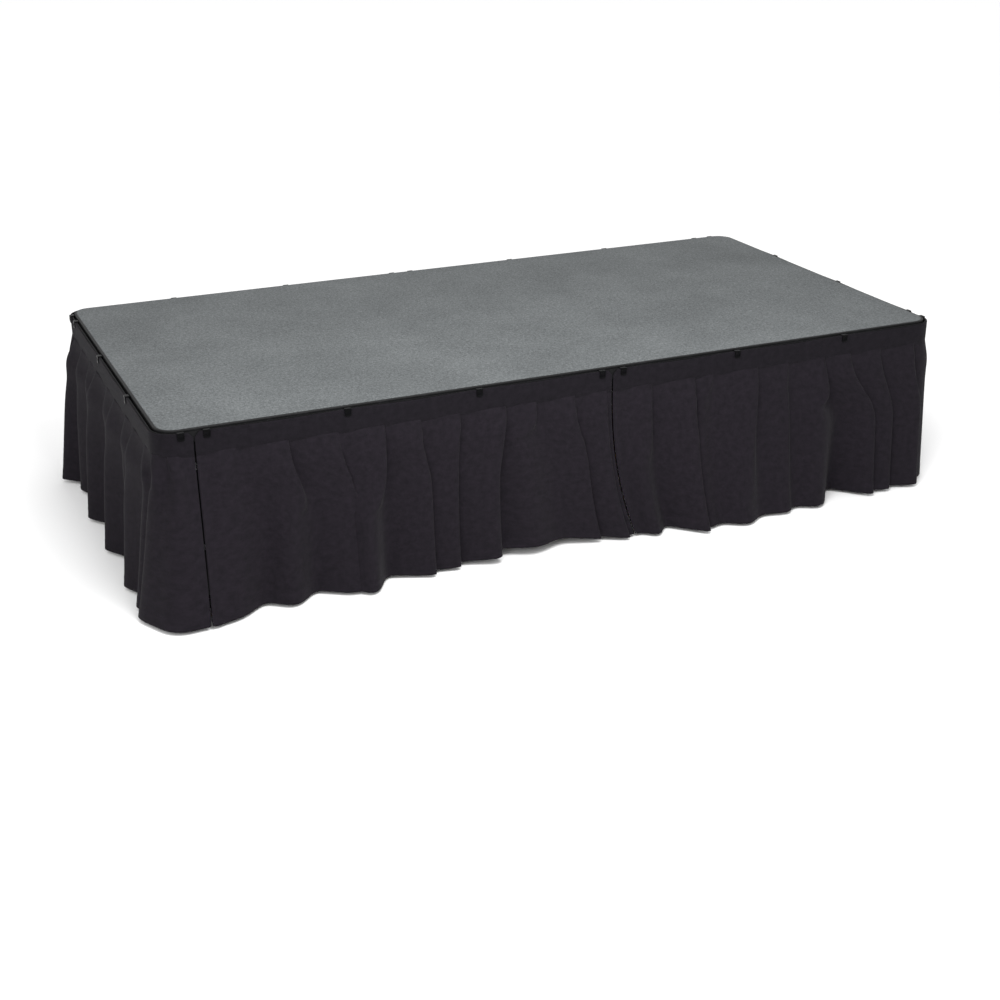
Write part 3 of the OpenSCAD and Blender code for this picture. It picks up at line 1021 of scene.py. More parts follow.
@dataclass
class SkirtPanel:
    """One skirt panel: pleated cloth with a hem, the header band it is sewn to, and their finish.

    Attributes:
        name: where the panel hangs, as its CAD node has it.
        body: the body it rides on.
        line: the line it hangs from.
        start: where its left end is on the line.
        length: how much of the line it takes.
        folds: its pleats, from left to right.
        end_foot: how far its right end stands out of the line at the hem, in millimetres.
        leans: how far its left and right ends lean to the right by the hem, in millimetres.
        lift: height of a shallow arch in its hem, its middle and its half width, in millimetres.
        flat_width: width that the cloth was cut to before it was pleated.
        top: height of the header's upper edge.
        header_height: height of the header band.
        header_thickness: how thick its doubled cloth is.
        header_steps: how many cells it has along its length.
        header_levels: how many cells it has up its height.
        header_dip: how far its upper edge dips between two clips.
        header_swell: how far it bulges out between two clips.
        end_notch: how far its upper corners are cut down.
        end_notch_width: how wide that cut is.
        tuck: how much of the pleated cloth is sewn into it.
        cloth_thickness: how thick the hem is; the single cloth above it is half of that.
        hem_height: how far the hem hangs above the floor.
        hem_band: height of the turned-up hem.
        side_hem: width of the flat hem at each end.
        side_cells: how many cells that flat hem has.
        cell: size of the cloth's cells.
        pressed: how deep the pleats are at the header, in millimetres.
        opening: how far below the header they open.
        pinch: how much deeper they stand just under the header, in millimetres.
        pinch_at: how far down that is, from 0 at the header to 1 at the hem.
        pinch_spread: over how much of the drop it fades.
        turned: whether the pleats are pressed to the left instead of the right.
        own_shape: how firmly the cloth keeps its pressed shape as it hangs.
        edge_shape: how firmly its two ends do.
        flare_power: how late in the drop the pleats' feet spread out.
        lean_power: how late in the drop the panel's ends lean.
        cloth: the pleated cloth, once it is made.
        header: the header band, once it is made.
    """

    name: str
    body: str
    line: SkirtLine
    start: float
    length: float
    folds: Sequence[Fold]
    end_foot: float
    leans: tuple[float, float]
    lift: tuple[float, float, float] = (0.0, 0.0, 1.0)
    flat_width: float = 1.16
    top: float = 0.401
    header_height: float = 0.050
    header_thickness: float = 0.0024
    header_steps: int = 96
    header_levels: int = 7
    header_dip: float = 0.0016
    header_swell: float = 0.0014
    end_notch: float = 0.011
    end_notch_width: float = 0.010
    tuck: float = 0.005
    cloth_thickness: float = 0.0016
    hem_height: float = 0.008
    hem_band: float = 0.025
    side_hem: float = 0.014
    side_cells: int = 2
    cell: float = 0.0085
    pressed: float = 0.7
    opening: float = 0.060
    pinch: float = 5.0
    pinch_at: float = 0.14
    pinch_spread: float = 0.09
    turned: bool = False
    own_shape: float = 0.55
    edge_shape: float = 0.7
    flare_power: float = 1.4
    lean_power: float = 2.2
    cloth: bpy.types.Object | None = field(default=None, init=False)
    header: bpy.types.Object | None = field(default=None, init=False)

    @property
    def cloth_top(self) -> float:
        """Height of the pleated cloth's upper edge, tucked into the header."""
        return self.top - self.header_height + self.tuck

    @property
    def cloth_height(self) -> float:
        """Length of the pleated cloth from its upper edge to its hem."""
        return self.cloth_top - self.hem_height

    @property
    def rows(self) -> int:
        """How many rows of cells the pleated cloth has."""
        return round(self.cloth_height / self.cell)

    def _marks(self, folds: Sequence[Fold]) -> list[float]:
        """Places the pleats' feet along the header, between the two flat side hems.

        Args:
            folds: the pleats.

        Returns:
            The distance of each foot from the panel's left end, and that of the last right foot.
        """
        room = self.length - 2 * self.side_hem
        scale = room / sum(fold.width for fold in folds)
        marks = [self.side_hem]
        for fold in folds:
            marks.append(marks[-1] + fold.width * scale)
        return marks

    def _hem_lengths(self, folds: Sequence[Fold], marks: Sequence[float], deeper: float) -> list[float]:
        """Measures the cloth that each pleat needs at the hem.

        Args:
            folds: the pleats.
            marks: where their feet are along the header.
            deeper: what their depths are multiplied by.

        Returns:
            The length of cloth in each pleat.
        """
        lengths = []
        for fold, start, end in zip(folds, marks, marks[1:]):
            # A soft wave's crest is just right of its middle, a knife edge's just past its right foot
            overlap = (0.5 * fold.knife - 0.42) * (end - start)
            curve = pleat_curve(end - start, deeper * fold.depth * MM, overlap, 24)
            lengths.append(curve_length(curve))
        return lengths

    def _fitted_folds(self, folds: Sequence[Fold], marks: Sequence[float]) -> tuple[list[Fold], list[float]]:
        """Makes the pleats as deep as the flat cloth allows.

        Args:
            folds: the pleats.
            marks: where their feet are along the header.

        Returns:
            The pleats, all deepened alike, and the length of cloth in each.
        """
        cloth = self.flat_width - 2 * self.side_hem
        low, high = 0.1, 4.0
        for _ in range(20):
            middle = (low + high) / 2
            if sum(self._hem_lengths(folds, marks, middle)) < cloth:
                low = middle
            else:
                high = middle
        lengths = self._hem_lengths(folds, marks, low)
        share = cloth / sum(lengths)
        return [replace(fold, depth=low * fold.depth) for fold in folds], [share * each for each in lengths]

    def _depth_at(self, fold: Fold, drop: float) -> float:
        """Says how deep a pleat stands at some height: pressed flat at the header, open below.

        Args:
            fold: the pleat.
            drop: from 0 at the header to 1 at the hem.

        Returns:
            Its depth in metres.
        """
        opening = self.opening / self.cloth_height
        opened = (1 - math.exp(-drop / opening)) / (1 - math.exp(-1 / opening))
        opened *= 0.7 + 0.3 * drop
        pinched = self.pinch * math.exp(-(((drop - self.pinch_at) / self.pinch_spread) ** 2))
        return (self.pressed + (fold.depth - self.pressed) * opened + pinched) * MM

    def _plan_of_row(
        self,
        drop: float,
        folds: Sequence[Fold],
        feet: Sequence[float],
        marks: Sequence[float],
        lengths: Sequence[float],
        counts: Sequence[int],
    ) -> list[tuple[float, float]]:
        """Draws one level of the pleated cloth in plan.

        Args:
            drop: from 0 at the header to 1 at the hem.
            folds: the pleats.
            feet: how far each foot stands out at the hem, in millimetres.
            marks: where the pleats' feet are along the header.
            lengths: the length of cloth in each pleat.
            counts: how many cells each pleat has.

        Returns:
            Points of (distance from the panel's left end, distance out of the skirt line).
        """
        wander = math.sin(math.pi / 2 * min(1.0, 2 * drop)) ** 2
        flare = drop**self.flare_power * MM
        places = list(marks)
        # A crest keeps its line down the cloth, so a softer pleat's foot moves further towards it
        for i, fold in list(enumerate(folds))[1:]:
            width = marks[i + 1] - marks[i]
            places[i] += (width * (0.50 - 0.5 * fold.knife) + fold.slant * MM) * wander
        plan = [(self.side_hem * i / self.side_cells, feet[0] * flare) for i in range(self.side_cells)]
        for i, fold in enumerate(folds):
            width = places[i + 1] - places[i]
            curve = pleat_of_length(width, self._depth_at(fold, drop), lengths[i])
            gone = np.concatenate([[0.0], np.cumsum(np.hypot(*np.diff(curve, axis=0).T))])
            wanted = np.linspace(0, gone[-1], counts[i] + 1)
            for along, out in zip(np.interp(wanted, gone, curve[:, 0]), np.interp(wanted, gone, curve[:, 1])):
                share = min(max(along / width, 0.0), 1.0)
                foot = feet[i] * (1 - share) + feet[i + 1] * share
                plan.append((places[i] + along, out + foot * flare))
            plan.pop()
        last = places[-1]
        plan += [
            (last + self.side_hem * i / self.side_cells, feet[-1] * flare) for i in range(self.side_cells + 1)
        ]
        return plan

    def _rows_of_points(self) -> tuple[list[list[Vector]], list[float]]:
        """Lays the pleated cloth out in its starting shape.

        Returns:
            The points of each row from the top down, and each column's distance along the flat cloth.
        """
        folds = list(self.folds)
        feet = [fold.foot for fold in folds] + [self.end_foot]
        if self.turned:
            folds.reverse()
            feet.reverse()
        marks = self._marks(folds)
        folds, lengths = self._fitted_folds(folds, marks)
        counts = [max(10, round(length / self.cell)) for length in lengths]
        flat = [self.side_hem * i / self.side_cells for i in range(self.side_cells)] + [self.side_hem]
        for length, count in zip(lengths, counts):
            flat += [flat[-1] + length / count * (i + 1) for i in range(count)]
        flat += [flat[-1] + self.side_hem * (i + 1) / self.side_cells for i in range(self.side_cells)]
        rise, middle, half = (value * MM for value in self.lift)
        grid = []
        for row in range(self.rows + 1):
            drop = row / self.rows
            plan = self._plan_of_row(drop, folds, feet, marks, lengths, counts)
            if self.turned:
                plan = [(self.length - along, out) for along, out in reversed(plan)]
            points = []
            for along, out in plan:
                whole = along / self.length
                lean = self.leans[0] * (1 - whole) ** 3 + self.leans[1] * whole**3
                lean *= MM * drop**self.lean_power
                near = max(0.0, 1 - ((along - middle) / half) ** 2)
                height = self.cloth_top - (self.cloth_height - rise * near**2) * drop
                points.append(self.line.place(self.start + along + lean, out, height))
            grid.append(points)
        if self.turned:
            flat = [flat[-1] - distance for distance in reversed(flat)]
        return grid, flat

    def build(self) -> None:
        """Makes the pleated cloth and the header band, as they are before they hang."""
        self._build_cloth()
        self._build_header()

    def _build_cloth(self) -> None:
        """Makes the pleated cloth in its starting shape, with its flat cut kept as a shape key."""
        grid, flat = self._rows_of_points()
        columns = len(flat)
        ups = [self.cloth_height * (1 - row / self.rows) for row in range(self.rows + 1)]
        uvs = [(along, up) for up in ups for along in flat]
        points = [point for row in grid for point in row]
        self.cloth = add_cloth_grid(f"skirt_cloth_{self.name}", points, uvs, columns, top_first=True)
        self.cloth.shape_key_add(name="hung")
        cut = self.cloth.shape_key_add(name="flat")
        for point, (along, up) in zip(cut.data, uvs):
            point.co = (along, 0.0, up)
        held = self.cloth.vertex_groups.new(name="held")
        held.add(range(2 * columns), 1.0, "REPLACE")
        for row in range(2, self.rows + 1):
            whole = range(row * columns, (row + 1) * columns)
            held.add(whole, self.own_shape, "REPLACE")
            held.add([whole[0], whole[-1]], self.edge_shape, "REPLACE")

    def drape(self, frames: int) -> bpy.types.ClothModifier:
        """Sets the cloth up to hang under its own weight from the header.

        Args:
            frames: how many frames it hangs for.

        Returns:
            The cloth modifier.
        """
        cloth = self.cloth.modifiers.new("hang", "CLOTH")
        settings = cloth.settings
        settings.quality = 6
        settings.mass = 0.12
        settings.air_damping = 2.0
        settings.tension_stiffness = settings.compression_stiffness = 18.0
        settings.shear_stiffness = 6.0
        settings.bending_stiffness = 0.6
        settings.tension_damping = settings.compression_damping = 8.0
        settings.vertex_group_mass = "held"
        settings.pin_stiffness = 1.0
        settings.rest_shape_key = self.cloth.data.shape_keys.key_blocks["flat"]
        cloth.collision_settings.use_collision = False
        cloth.collision_settings.use_self_collision = False
        cloth.point_cache.frame_start = 1
        cloth.point_cache.frame_end = frames
        return cloth

    def settle(self, hung: bpy.types.ClothModifier | None) -> None:
        """Keeps the hung shape as the cloth's own mesh, and gives it its thickness.

        Args:
            hung: the cloth modifier, or None where the cloth hasn't been hung.
        """
        mesh = self.cloth.data
        if hung is not None:
            graph = bpy.context.evaluated_depsgraph_get()
            shape = self.cloth.evaluated_get(graph).data
            places = np.empty(len(mesh.vertices) * 3, np.float32)
            shape.vertices.foreach_get("co", places)
            self.cloth.modifiers.remove(hung)
        else:
            places = np.empty(len(mesh.vertices) * 3, np.float32)
            mesh.shape_keys.key_blocks["hung"].data.foreach_get("co", places)
        self.cloth.shape_key_clear()
        mesh.vertices.foreach_set("co", places)
        mesh.update()
        self.cloth.vertex_groups.clear()
        apply_modifier(self.cloth, "SUBSURF", levels=1, render_levels=1)
        band = self.cloth.vertex_groups.new(name="hem_band")
        uv = mesh.uv_layers[CLOTH_UV]
        for loop in mesh.loops:
            thick = 1.0 if uv.data[loop.index].uv.y <= self.hem_band else 0.5
            band.add([loop.vertex_index], thick, "REPLACE")
        apply_modifier(
            self.cloth,
            "SOLIDIFY",
            thickness=self.cloth_thickness,
            offset=0.0,
            vertex_group="hem_band",
            use_even_offset=False,
        )

    def _build_header(self) -> None:
        """Makes the header band: doubled cloth that bulges a little and dips between its clips."""
        clip_gap = (self.length - 2 * SkirtClips.INSET) / (SkirtClips.COUNT - 1)
        points, uvs = [], []
        for row in range(self.header_levels + 1):
            up = row / self.header_levels
            for step in range(self.header_steps + 1):
                along = self.length * step / self.header_steps
                between = math.sin(math.pi * (along - SkirtClips.INSET) / clip_gap) ** 2
                to_end = min(along, self.length - along)
                notch = self.end_notch * max(0.0, 1 - to_end / self.end_notch_width) * up**3
                dip = self.header_dip * between * up**2
                swell = self.header_swell * between * math.sin(math.pi * min(up * 1.1, 1.0))
                height = self.top - self.header_height + up * self.header_height - dip - notch
                points.append(self.line.place(self.start + along, swell, height))
                uvs.append((along, self.header_height * row / self.header_levels))
        self.header = add_cloth_grid(
            f"skirt_header_{self.name}", points, uvs, self.header_steps + 1, top_first=False
        )
        apply_modifier(
            self.header, "SOLIDIFY", thickness=self.header_thickness, offset=0.0, use_even_offset=True
        )
        apply_modifier(
            self.header,
            "BEVEL",
            width=self.header_thickness / 3,
            segments=2,
            limit_method="ANGLE",
            angle_limit=math.radians(50),
        )

    def dress(self) -> None:
        for piece, finish in ((self.cloth, Finish.SKIRT), (self.header, Finish.HEADER)):
            paint(piece, finish)
            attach(piece, self.body)
        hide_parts(f"skirt_{self.name}")
        LOG.info("skirt panel %s: %d pleats", self.name, len(self.folds))


@dataclass
class SkirtClips:
    """The moulded clips along one panel's header: each grips the header and hooks over the rail.

    Attributes:
        panel: the panel they hold.
        width: a clip's width along the header.
        inner: where its inner side is, out of the deck's edge.
        outer: where its outer side is.
        wall: its thickness.
        bridge_top: height of its top.
        tongue_drop: how far its inner tongue reaches down behind the header.
        plate_drop: how far its outer plate reaches down in front of it.
        lip: how much of each leg's lower end is cut off as a lip.
        rounding: radius of its edges.
    """

    COUNT = 4
    INSET = 0.024

    panel: SkirtPanel
    width: float = 0.014
    inner: float = 0.0015
    outer: float = 0.0121
    wall: float = 0.0016
    bridge_top: float = 0.4026
    tongue_drop: float = 0.0146
    plate_drop: float = 0.0168
    lip: float = 0.003
    rounding: float = 0.00035

    def model(self) -> bpy.types.Object:
        """Models one clip with its middle on the X axis; X is the distance out of the deck's edge.

        Returns:
            The clip.
        """
        half = self.width / 2
        low = Vector((self.inner, -half, self.bridge_top - self.wall))
        clip = add_block("skirt_clip", low, Vector((self.outer, half, self.bridge_top)))
        bpy.ops.object.mode_set(mode="EDIT")
        for cut in (self.inner + self.wall, self.outer - self.wall):
            bpy.ops.mesh.select_all(action="SELECT")
            bpy.ops.mesh.bisect(plane_co=(cut, 0, 0), plane_no=(1, 0, 0))
        middle = (self.inner + self.outer) / 2
        for side, drop in ((-1, self.tongue_drop), (1, self.plate_drop)):
            select_faces(clip, lambda c, n: n.z < -0.9 and side * (c.x - middle) > self.wall)
            for step in (drop - self.wall - self.lip, self.lip):
                bpy.ops.mesh.extrude_region_move(TRANSFORM_OT_translate={"value": (0, 0, -step)})
        bottom = self.bridge_top - self.plate_drop
        select_faces(clip, lambda c, n: n.z < -0.9 and c.x > middle and c.z < bottom + 0.001)
        bpy.ops.transform.resize(value=(0.55, 0.8, 1.0))
        self._sink_thumb_panel(clip)
        select_edges(clip, lambda a, b: (a - b).length > 0.0015)
        bpy.ops.mesh.bevel(offset=self.rounding, segments=2, affect="EDGES", clamp_overlap=True)
        bpy.ops.mesh.select_all(action="SELECT")
        bpy.ops.mesh.remove_doubles(threshold=0.00001)
        bpy.ops.mesh.normals_make_consistent(inside=False)
        bpy.ops.object.mode_set(mode="OBJECT")
        bpy.ops.object.shade_smooth_by_angle(angle=math.radians(35))
        return clip

    def _sink_thumb_panel(self, clip: bpy.types.Object) -> None:
        """Sinks a shallow thumb panel in the clip's outer plate.

        Args:
            clip: the clip being edited.
        """
        select_faces(
            clip,
            lambda c, n: n.x > 0.9 and c.x > self.outer - 0.0001 and c.z < self.bridge_top - self.wall,
        )
        bpy.ops.mesh.inset(thickness=0.0022)
        bpy.ops.mesh.extrude_region_move(TRANSFORM_OT_translate={"value": (-0.0006, 0, 0)})

    def build(self, model: bpy.types.Object) -> None:
        """Puts the clips along the panel, dresses them and hangs them on the panel's body.

        Args:
            model: the clip that is copied.
        """
        line = self.panel.line
        gap = (self.panel.length - 2 * self.INSET) / (self.COUNT - 1)
        places = []
        for k in range(self.COUNT):
            point, angle = line.at(self.panel.start + self.INSET + k * gap)
            edge = Matrix.Translation((line.corner, 0, 0))
            turned = Matrix.Rotation(angle, 4, "Z")
            places.append(Matrix.Translation((point.x, point.y, 0)) @ turned @ edge)
        piece = place_copies(model, f"header_clips_{self.panel.name}", places)
        paint(piece, Finish.CLIP)
        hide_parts(f"clips_{self.panel.name}")
        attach(piece, self.panel.body)
        LOG.info("%s: %d clips", piece.name, self.COUNT)


@dataclass
class Skirt:
    """The whole skirt: six panels round the deck, and their clips.

    Attributes:
        line: the line it hangs from.
        first_seam: where the front left panel starts on that line.
        seam_gap: the gap between two panels.
        frames: how many frames the cloth hangs for.
        seed: seed of the pleats that are made up.
        panels: the panels, once they are made.
    """

    line: SkirtLine
    first_seam: float = 0.028
    seam_gap: float = 0.003
    frames: int = 40
    seed: int = 7
    panels: list[SkirtPanel] = field(default_factory=list)

    FRONT_LEFT = (
        Fold(66, 10, 60, 0.15),
        Fold(96, 34, 4, 0.45, 12),
        Fold(123, 12, -6, 0.1, 4),
        Fold(59, 42, 22, 0.95, -10),
        Fold(111, 22, -12, 0.3, -8),
        Fold(82, 24, 0, 0.3, -28),
        Fold(86, 34, -12, 0.9, -26),
        Fold(87, 24, -14, 0.35, -34),
        Fold(96, 22, -10, 0.2, 4),
        Fold(73, 14, -10, 0.7, -8),
    )
    FRONT_RIGHT = (
        Fold(74, 24, 14, 0.5),
        Fold(112, 28, 4, 0.4, -18),
        Fold(52, 8, 40, 0.2, -40),
        Fold(110, 24, 44, 0.6, -30),
        Fold(91, 14, 42, 0.2, -28),
        Fold(62, 42, 34, 1.0, 8),
        Fold(107, 20, -28, 0.15, 44),
        Fold(80, 20, 22, 0.15, 20),
        Fold(93, 24, 13, 0.25),
        Fold(98, 26, 12, 0.7),
    )
    LEFT_SIDE = (
        Fold(88, 31, 30, 0.3),
        Fold(98, 24, 8, 0.3),
        Fold(88, 18, 14, 0.4),
        Fold(102, 34, 12, 0.3),
        Fold(96, 14, 8, 0.4),
        Fold(104, 30, 16, 0.2),
        Fold(92, 16, 10, 0.3),
        Fold(98, 28, 14, 0.3),
        Fold(52, 12, 26, 0.4),
        Fold(40, 8, 42, 0.2),
        Fold(40, 8, 54, 0.1),
    )

    def _made_up_folds(self, maker: random.Random) -> tuple[Fold, ...]:
        """Makes up pleats that are as uneven as real ones.

        Args:
            maker: the seeded source of chance.

        Returns:
            Ten pleats.
        """
        return tuple(
            Fold(
                width=maker.uniform(72, 114),
                depth=maker.uniform(22, 48),
                foot=maker.uniform(-6, 20),
                knife=maker.uniform(0.1, 0.9),
                slant=maker.uniform(-10, 16),
            )
            for _ in range(10)
        )

    def build(self) -> None:
        """Makes all six panels, hangs them, and fits the clips."""
        maker = random.Random(self.seed)
        pitch = self.line.half_line / 3
        plan = (
            ("front_left", "skirt_fl", self.FRONT_LEFT, (-8, 62), {"lift": (14, 700, 200)}),
            ("front_right", "skirt_fr", self.FRONT_RIGHT, (62, 6), {}),
            ("right", "skirt_r", self._made_up_folds(maker), (6, -4), {}),
            ("rear_right", "skirt_rr", self._made_up_folds(maker), (-4, 8), {"lift": (8, 400, 240)}),
            ("rear_left", "skirt_rl", self._made_up_folds(maker), (8, 4), {}),
            ("left", "skirt_l", self.LEFT_SIDE, (4, -8), {"pinch": 9.0, "turned": True}),
        )
        for i, (name, body, folds, leans, shaping) in enumerate(plan):
            following = plan[(i + 1) % len(plan)][2]
            self.panels.append(
                SkirtPanel(
                    name=name,
                    body=body,
                    line=self.line,
                    start=self.first_seam + i * pitch + self.seam_gap / 2,
                    length=pitch - self.seam_gap,
                    folds=folds,
                    end_foot=following[0].foot,
                    leans=leans,
                    **shaping,
                )
            )
        for panel in self.panels:
            panel.build()
        self._hang()
        clip = SkirtClips(self.panels[0]).model()
        for panel in self.panels:
            panel.dress()
            SkirtClips(panel).build(clip)
        bpy.data.objects.remove(clip)

    def _hang(self) -> None:
        """Lets all the panels hang together, then keeps their shapes."""
        cloths = [panel.drape(self.frames) for panel in self.panels]
        scene = bpy.context.scene
        scene.frame_end = max(scene.frame_end, self.frames)
        for step in range(1, self.frames + 1):
            scene.frame_set(step)
        for panel, cloth in zip(self.panels, cloths):
            panel.settle(cloth)
        scene.frame_set(1)


# ---------- welds ----------


@dataclass
class WeldBeads:
    """Hand-run weld beads: rows of overlapping ripples, laid where one steel part meets another.

    Attributes:
        radius: a bead's radius.
        valley: its radius between two ripples, as a share of that.
        tips: its radius at its first and last end, as shares of that.
        ripple: how far apart the ripples are.
        sides: how many sides it has.
        models: the beads that are copied, by their length in millimetres.
    """

    radius: float = 0.0024
    valley: float = 0.82
    tips: tuple[float, float] = (0.45, 0.4)
    ripple: float = 0.0022
    sides: int = 8
    models: dict[int, bpy.types.Object] = field(default_factory=dict)

    def _model(self, length: float) -> bpy.types.Object:
        """Gives the bead of one length, modelled the first time it is asked for.

        Args:
            length: the bead's length.

        Returns:
            The bead, along the Z axis with its middle at the origin.
        """
        key = round(length / MM)
        if key not in self.models:
            count = round(length / self.ripple)
            step = length / count
            rings = [(-length / 2, self.radius * self.tips[0])]
            for k in range(count):
                start = k * step - length / 2
                rings.append((start + step * 0.35, self.radius))
                rings.append((start + step * 0.95, self.radius * self.valley))
            rings.append((length / 2, self.radius * self.tips[1]))
            self.models[key] = add_ringed_rod(f"weld_bead_{key}", rings, self.sides)
        return self.models[key]

    def run(self, name: str, body: str, lines: Sequence[tuple[Vector, Vector]]) -> None:
        """Runs beads along lines, as one piece.

        Args:
            name: the piece's name.
            body: the body it rides on.
            lines: the two ends of each bead.
        """
        parts = []
        for k, (start, end) in enumerate(lines):
            along = end - start
            turned = along.to_track_quat("Z", "Y").to_matrix().to_4x4()
            place = Matrix.Translation((start + end) / 2) @ turned
            parts.append(place_copies(self._model(along.length), f"{name}_{k}", [place]))
        beads = join_parts(parts, name)
        paint(beads, Finish.STEEL_COAT)
        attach(beads, body)
        LOG.info("%s: %d beads", name, len(lines))

    def clear(self) -> None:
        """Deletes the beads that were only copied."""
        for model in self.models.values():
            bpy.data.objects.remove(model)
        self.models.clear()


def bar_end_lines(low: Vector, high: Vector, sides: str) -> list[tuple[Vector, Vector]]:
    """Lists the seams round both ends of a bar that lies along Y between two other parts.

    Args:
        low: the bar's lowest corner.
        high: the bar's highest corner.
        sides: which faces have a seam: b and t for bottom and top, l and r for left and right.

    Returns:
        The two ends of each seam.
    """
    lines = []
    for y in (low.y, high.y):
        seams = {
            "b": ((low.x, low.z), (high.x, low.z)),
            "t": ((low.x, high.z), (high.x, high.z)),
            "l": ((low.x, low.z), (low.x, high.z)),
            "r": ((high.x, low.z), (high.x, high.z)),
        }
        for side in sides:
            (x0, z0), (x1, z1) = seams[side]
            lines.append((Vector((x0, y, z0)), Vector((x1, y, z1))))
    return lines


# ---------- deck ----------


@dataclass
class Deck:
    """The deck: carpet on plywood in a vinyl edge, on a welded steel frame with its skirt rail.

    Attributes:
        corner: radius of the deck's corners.
        edge_band: width of the vinyl edge beside the carpet.
        pile_round: how far the carpet's upper edge is rounded.
        anchor_width: width of a brace anchor along the frame.
        anchor_plate: thickness of its plate.
    """

    corner: float = 0.040
    edge_band: float = 0.005
    pile_round: float = 0.0018
    anchor_width: float = 0.024
    anchor_plate: float = 0.004

    def build(self) -> None:
        """Lays the carpet."""
        low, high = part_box("carpet")
        carpet = add_block("carpet_felt", low, high)
        bpy.ops.object.mode_set(mode="EDIT")
        select_edges(carpet, lambda a, b: abs(a.z - b.z) > 0.002)
        bpy.ops.mesh.bevel(offset=self.corner - self.edge_band, segments=16, affect="EDGES")
        select_edges(carpet, lambda a, b: min(a.z, b.z) > high.z - 0.0005)
        bpy.ops.mesh.bevel(offset=self.pile_round, segments=4, affect="EDGES", clamp_overlap=True)
        bpy.ops.object.mode_set(mode="OBJECT")
        bpy.ops.object.shade_smooth_by_angle(angle=math.radians(40))
        paint(carpet, Finish.CARPET)
        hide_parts("carpet")
        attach(carpet, "deck")

    def weld(self, beads: WeldBeads) -> None:
        """Welds the frame: its cross members, its end rails and the brace anchors under it.

        Args:
            beads: makes the beads.
        """
        low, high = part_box("frame_cross_members")
        half = (high.z - low.z) / 2
        lines = []
        for share in (-1, -1 / 3, 1 / 3, 1):
            x = share * (high.x - half)
            bar_low, bar_high = Vector((x - half, low.y, low.z)), Vector((x + half, high.y, high.z))
            lines += bar_end_lines(bar_low, bar_high, "blr")
        lines += bar_end_lines(*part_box("frame_rail_left"), "br")
        lines += bar_end_lines(*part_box("frame_rail_right"), "bl")
        anchor_low, anchor_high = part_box("brace_anchor_brackets")
        for side_x in (-1, 1):
            for side_y in (-1, 1):
                for inward in (0.0, self.anchor_plate):
                    y = side_y * (anchor_high.y - inward)
                    ends = (anchor_high.x - self.anchor_width, anchor_high.x)
                    lines.append(tuple(Vector((side_x * x, y, anchor_high.z)) for x in ends))
        beads.run("frame_weld_beads", "deck", lines)

    def dress(self, nodes: dict[str, bpy.types.Object]) -> None:
        """Gives the deck's CAD pieces their finishes.

        Args:
            nodes: the CAD nodes by name.
        """
        finishes = {
            Finish.PLYWOOD: ("plywood_deck",),
            Finish.EDGING: ("edge_moulding",),
            Finish.SKIRT_RAIL: ("skirt_rail",),
            Finish.STEEL_COAT: (
                "frame_rail",
                "frame_cross_members",
                "leg_pivot_brackets",
                "brace_anchor_brackets",
            ),
            Finish.NYLON: ("frame_end_caps",),
            Finish.ZINC: (
                "skirt_rail_screws",
                "deck_screws",
                "bracket_bolts",
                "leg_pivot_bolts",
                "brace_anchor_bolts",
            ),
        }
        paint_nodes(nodes, "", finishes)


@dataclass
class LegPair:
    """One pair of folding legs, with its crossbars and knee braces.

    Attributes:
        side: left or right.
    """

    side: str

    def dress(self, nodes: dict[str, bpy.types.Object]) -> None:
        """Gives the leg pair's CAD pieces their finishes.

        Args:
            nodes: the CAD nodes by name.
        """
        finishes = {
            Finish.STEEL_COAT: ("leg_tube", "leg_crossbar"),
            Finish.ZINC: ("leg_pivot_sleeves", "brace_leg_rivets", "knee_rivets"),
            Finish.BRACE_ZINC: ("brace_upper_links", "brace_lower_links", "brace_release_bar"),
            Finish.NYLON: ("leg_end_plugs",),
        }
        paint_nodes(nodes, f"{self.side}_", finishes)

    def weld(self, beads: WeldBeads) -> None:
        """Welds the pair's two crossbars to its legs.

        Args:
            beads: makes the beads.
        """
        lines = []
        for bar in ("upper", "lower"):
            lines += bar_end_lines(*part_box(f"{self.side}_leg_crossbar_{bar}"), "btlr")
        beads.run(f"{self.side}_leg_weld_beads", f"{self.side}_leg", lines)


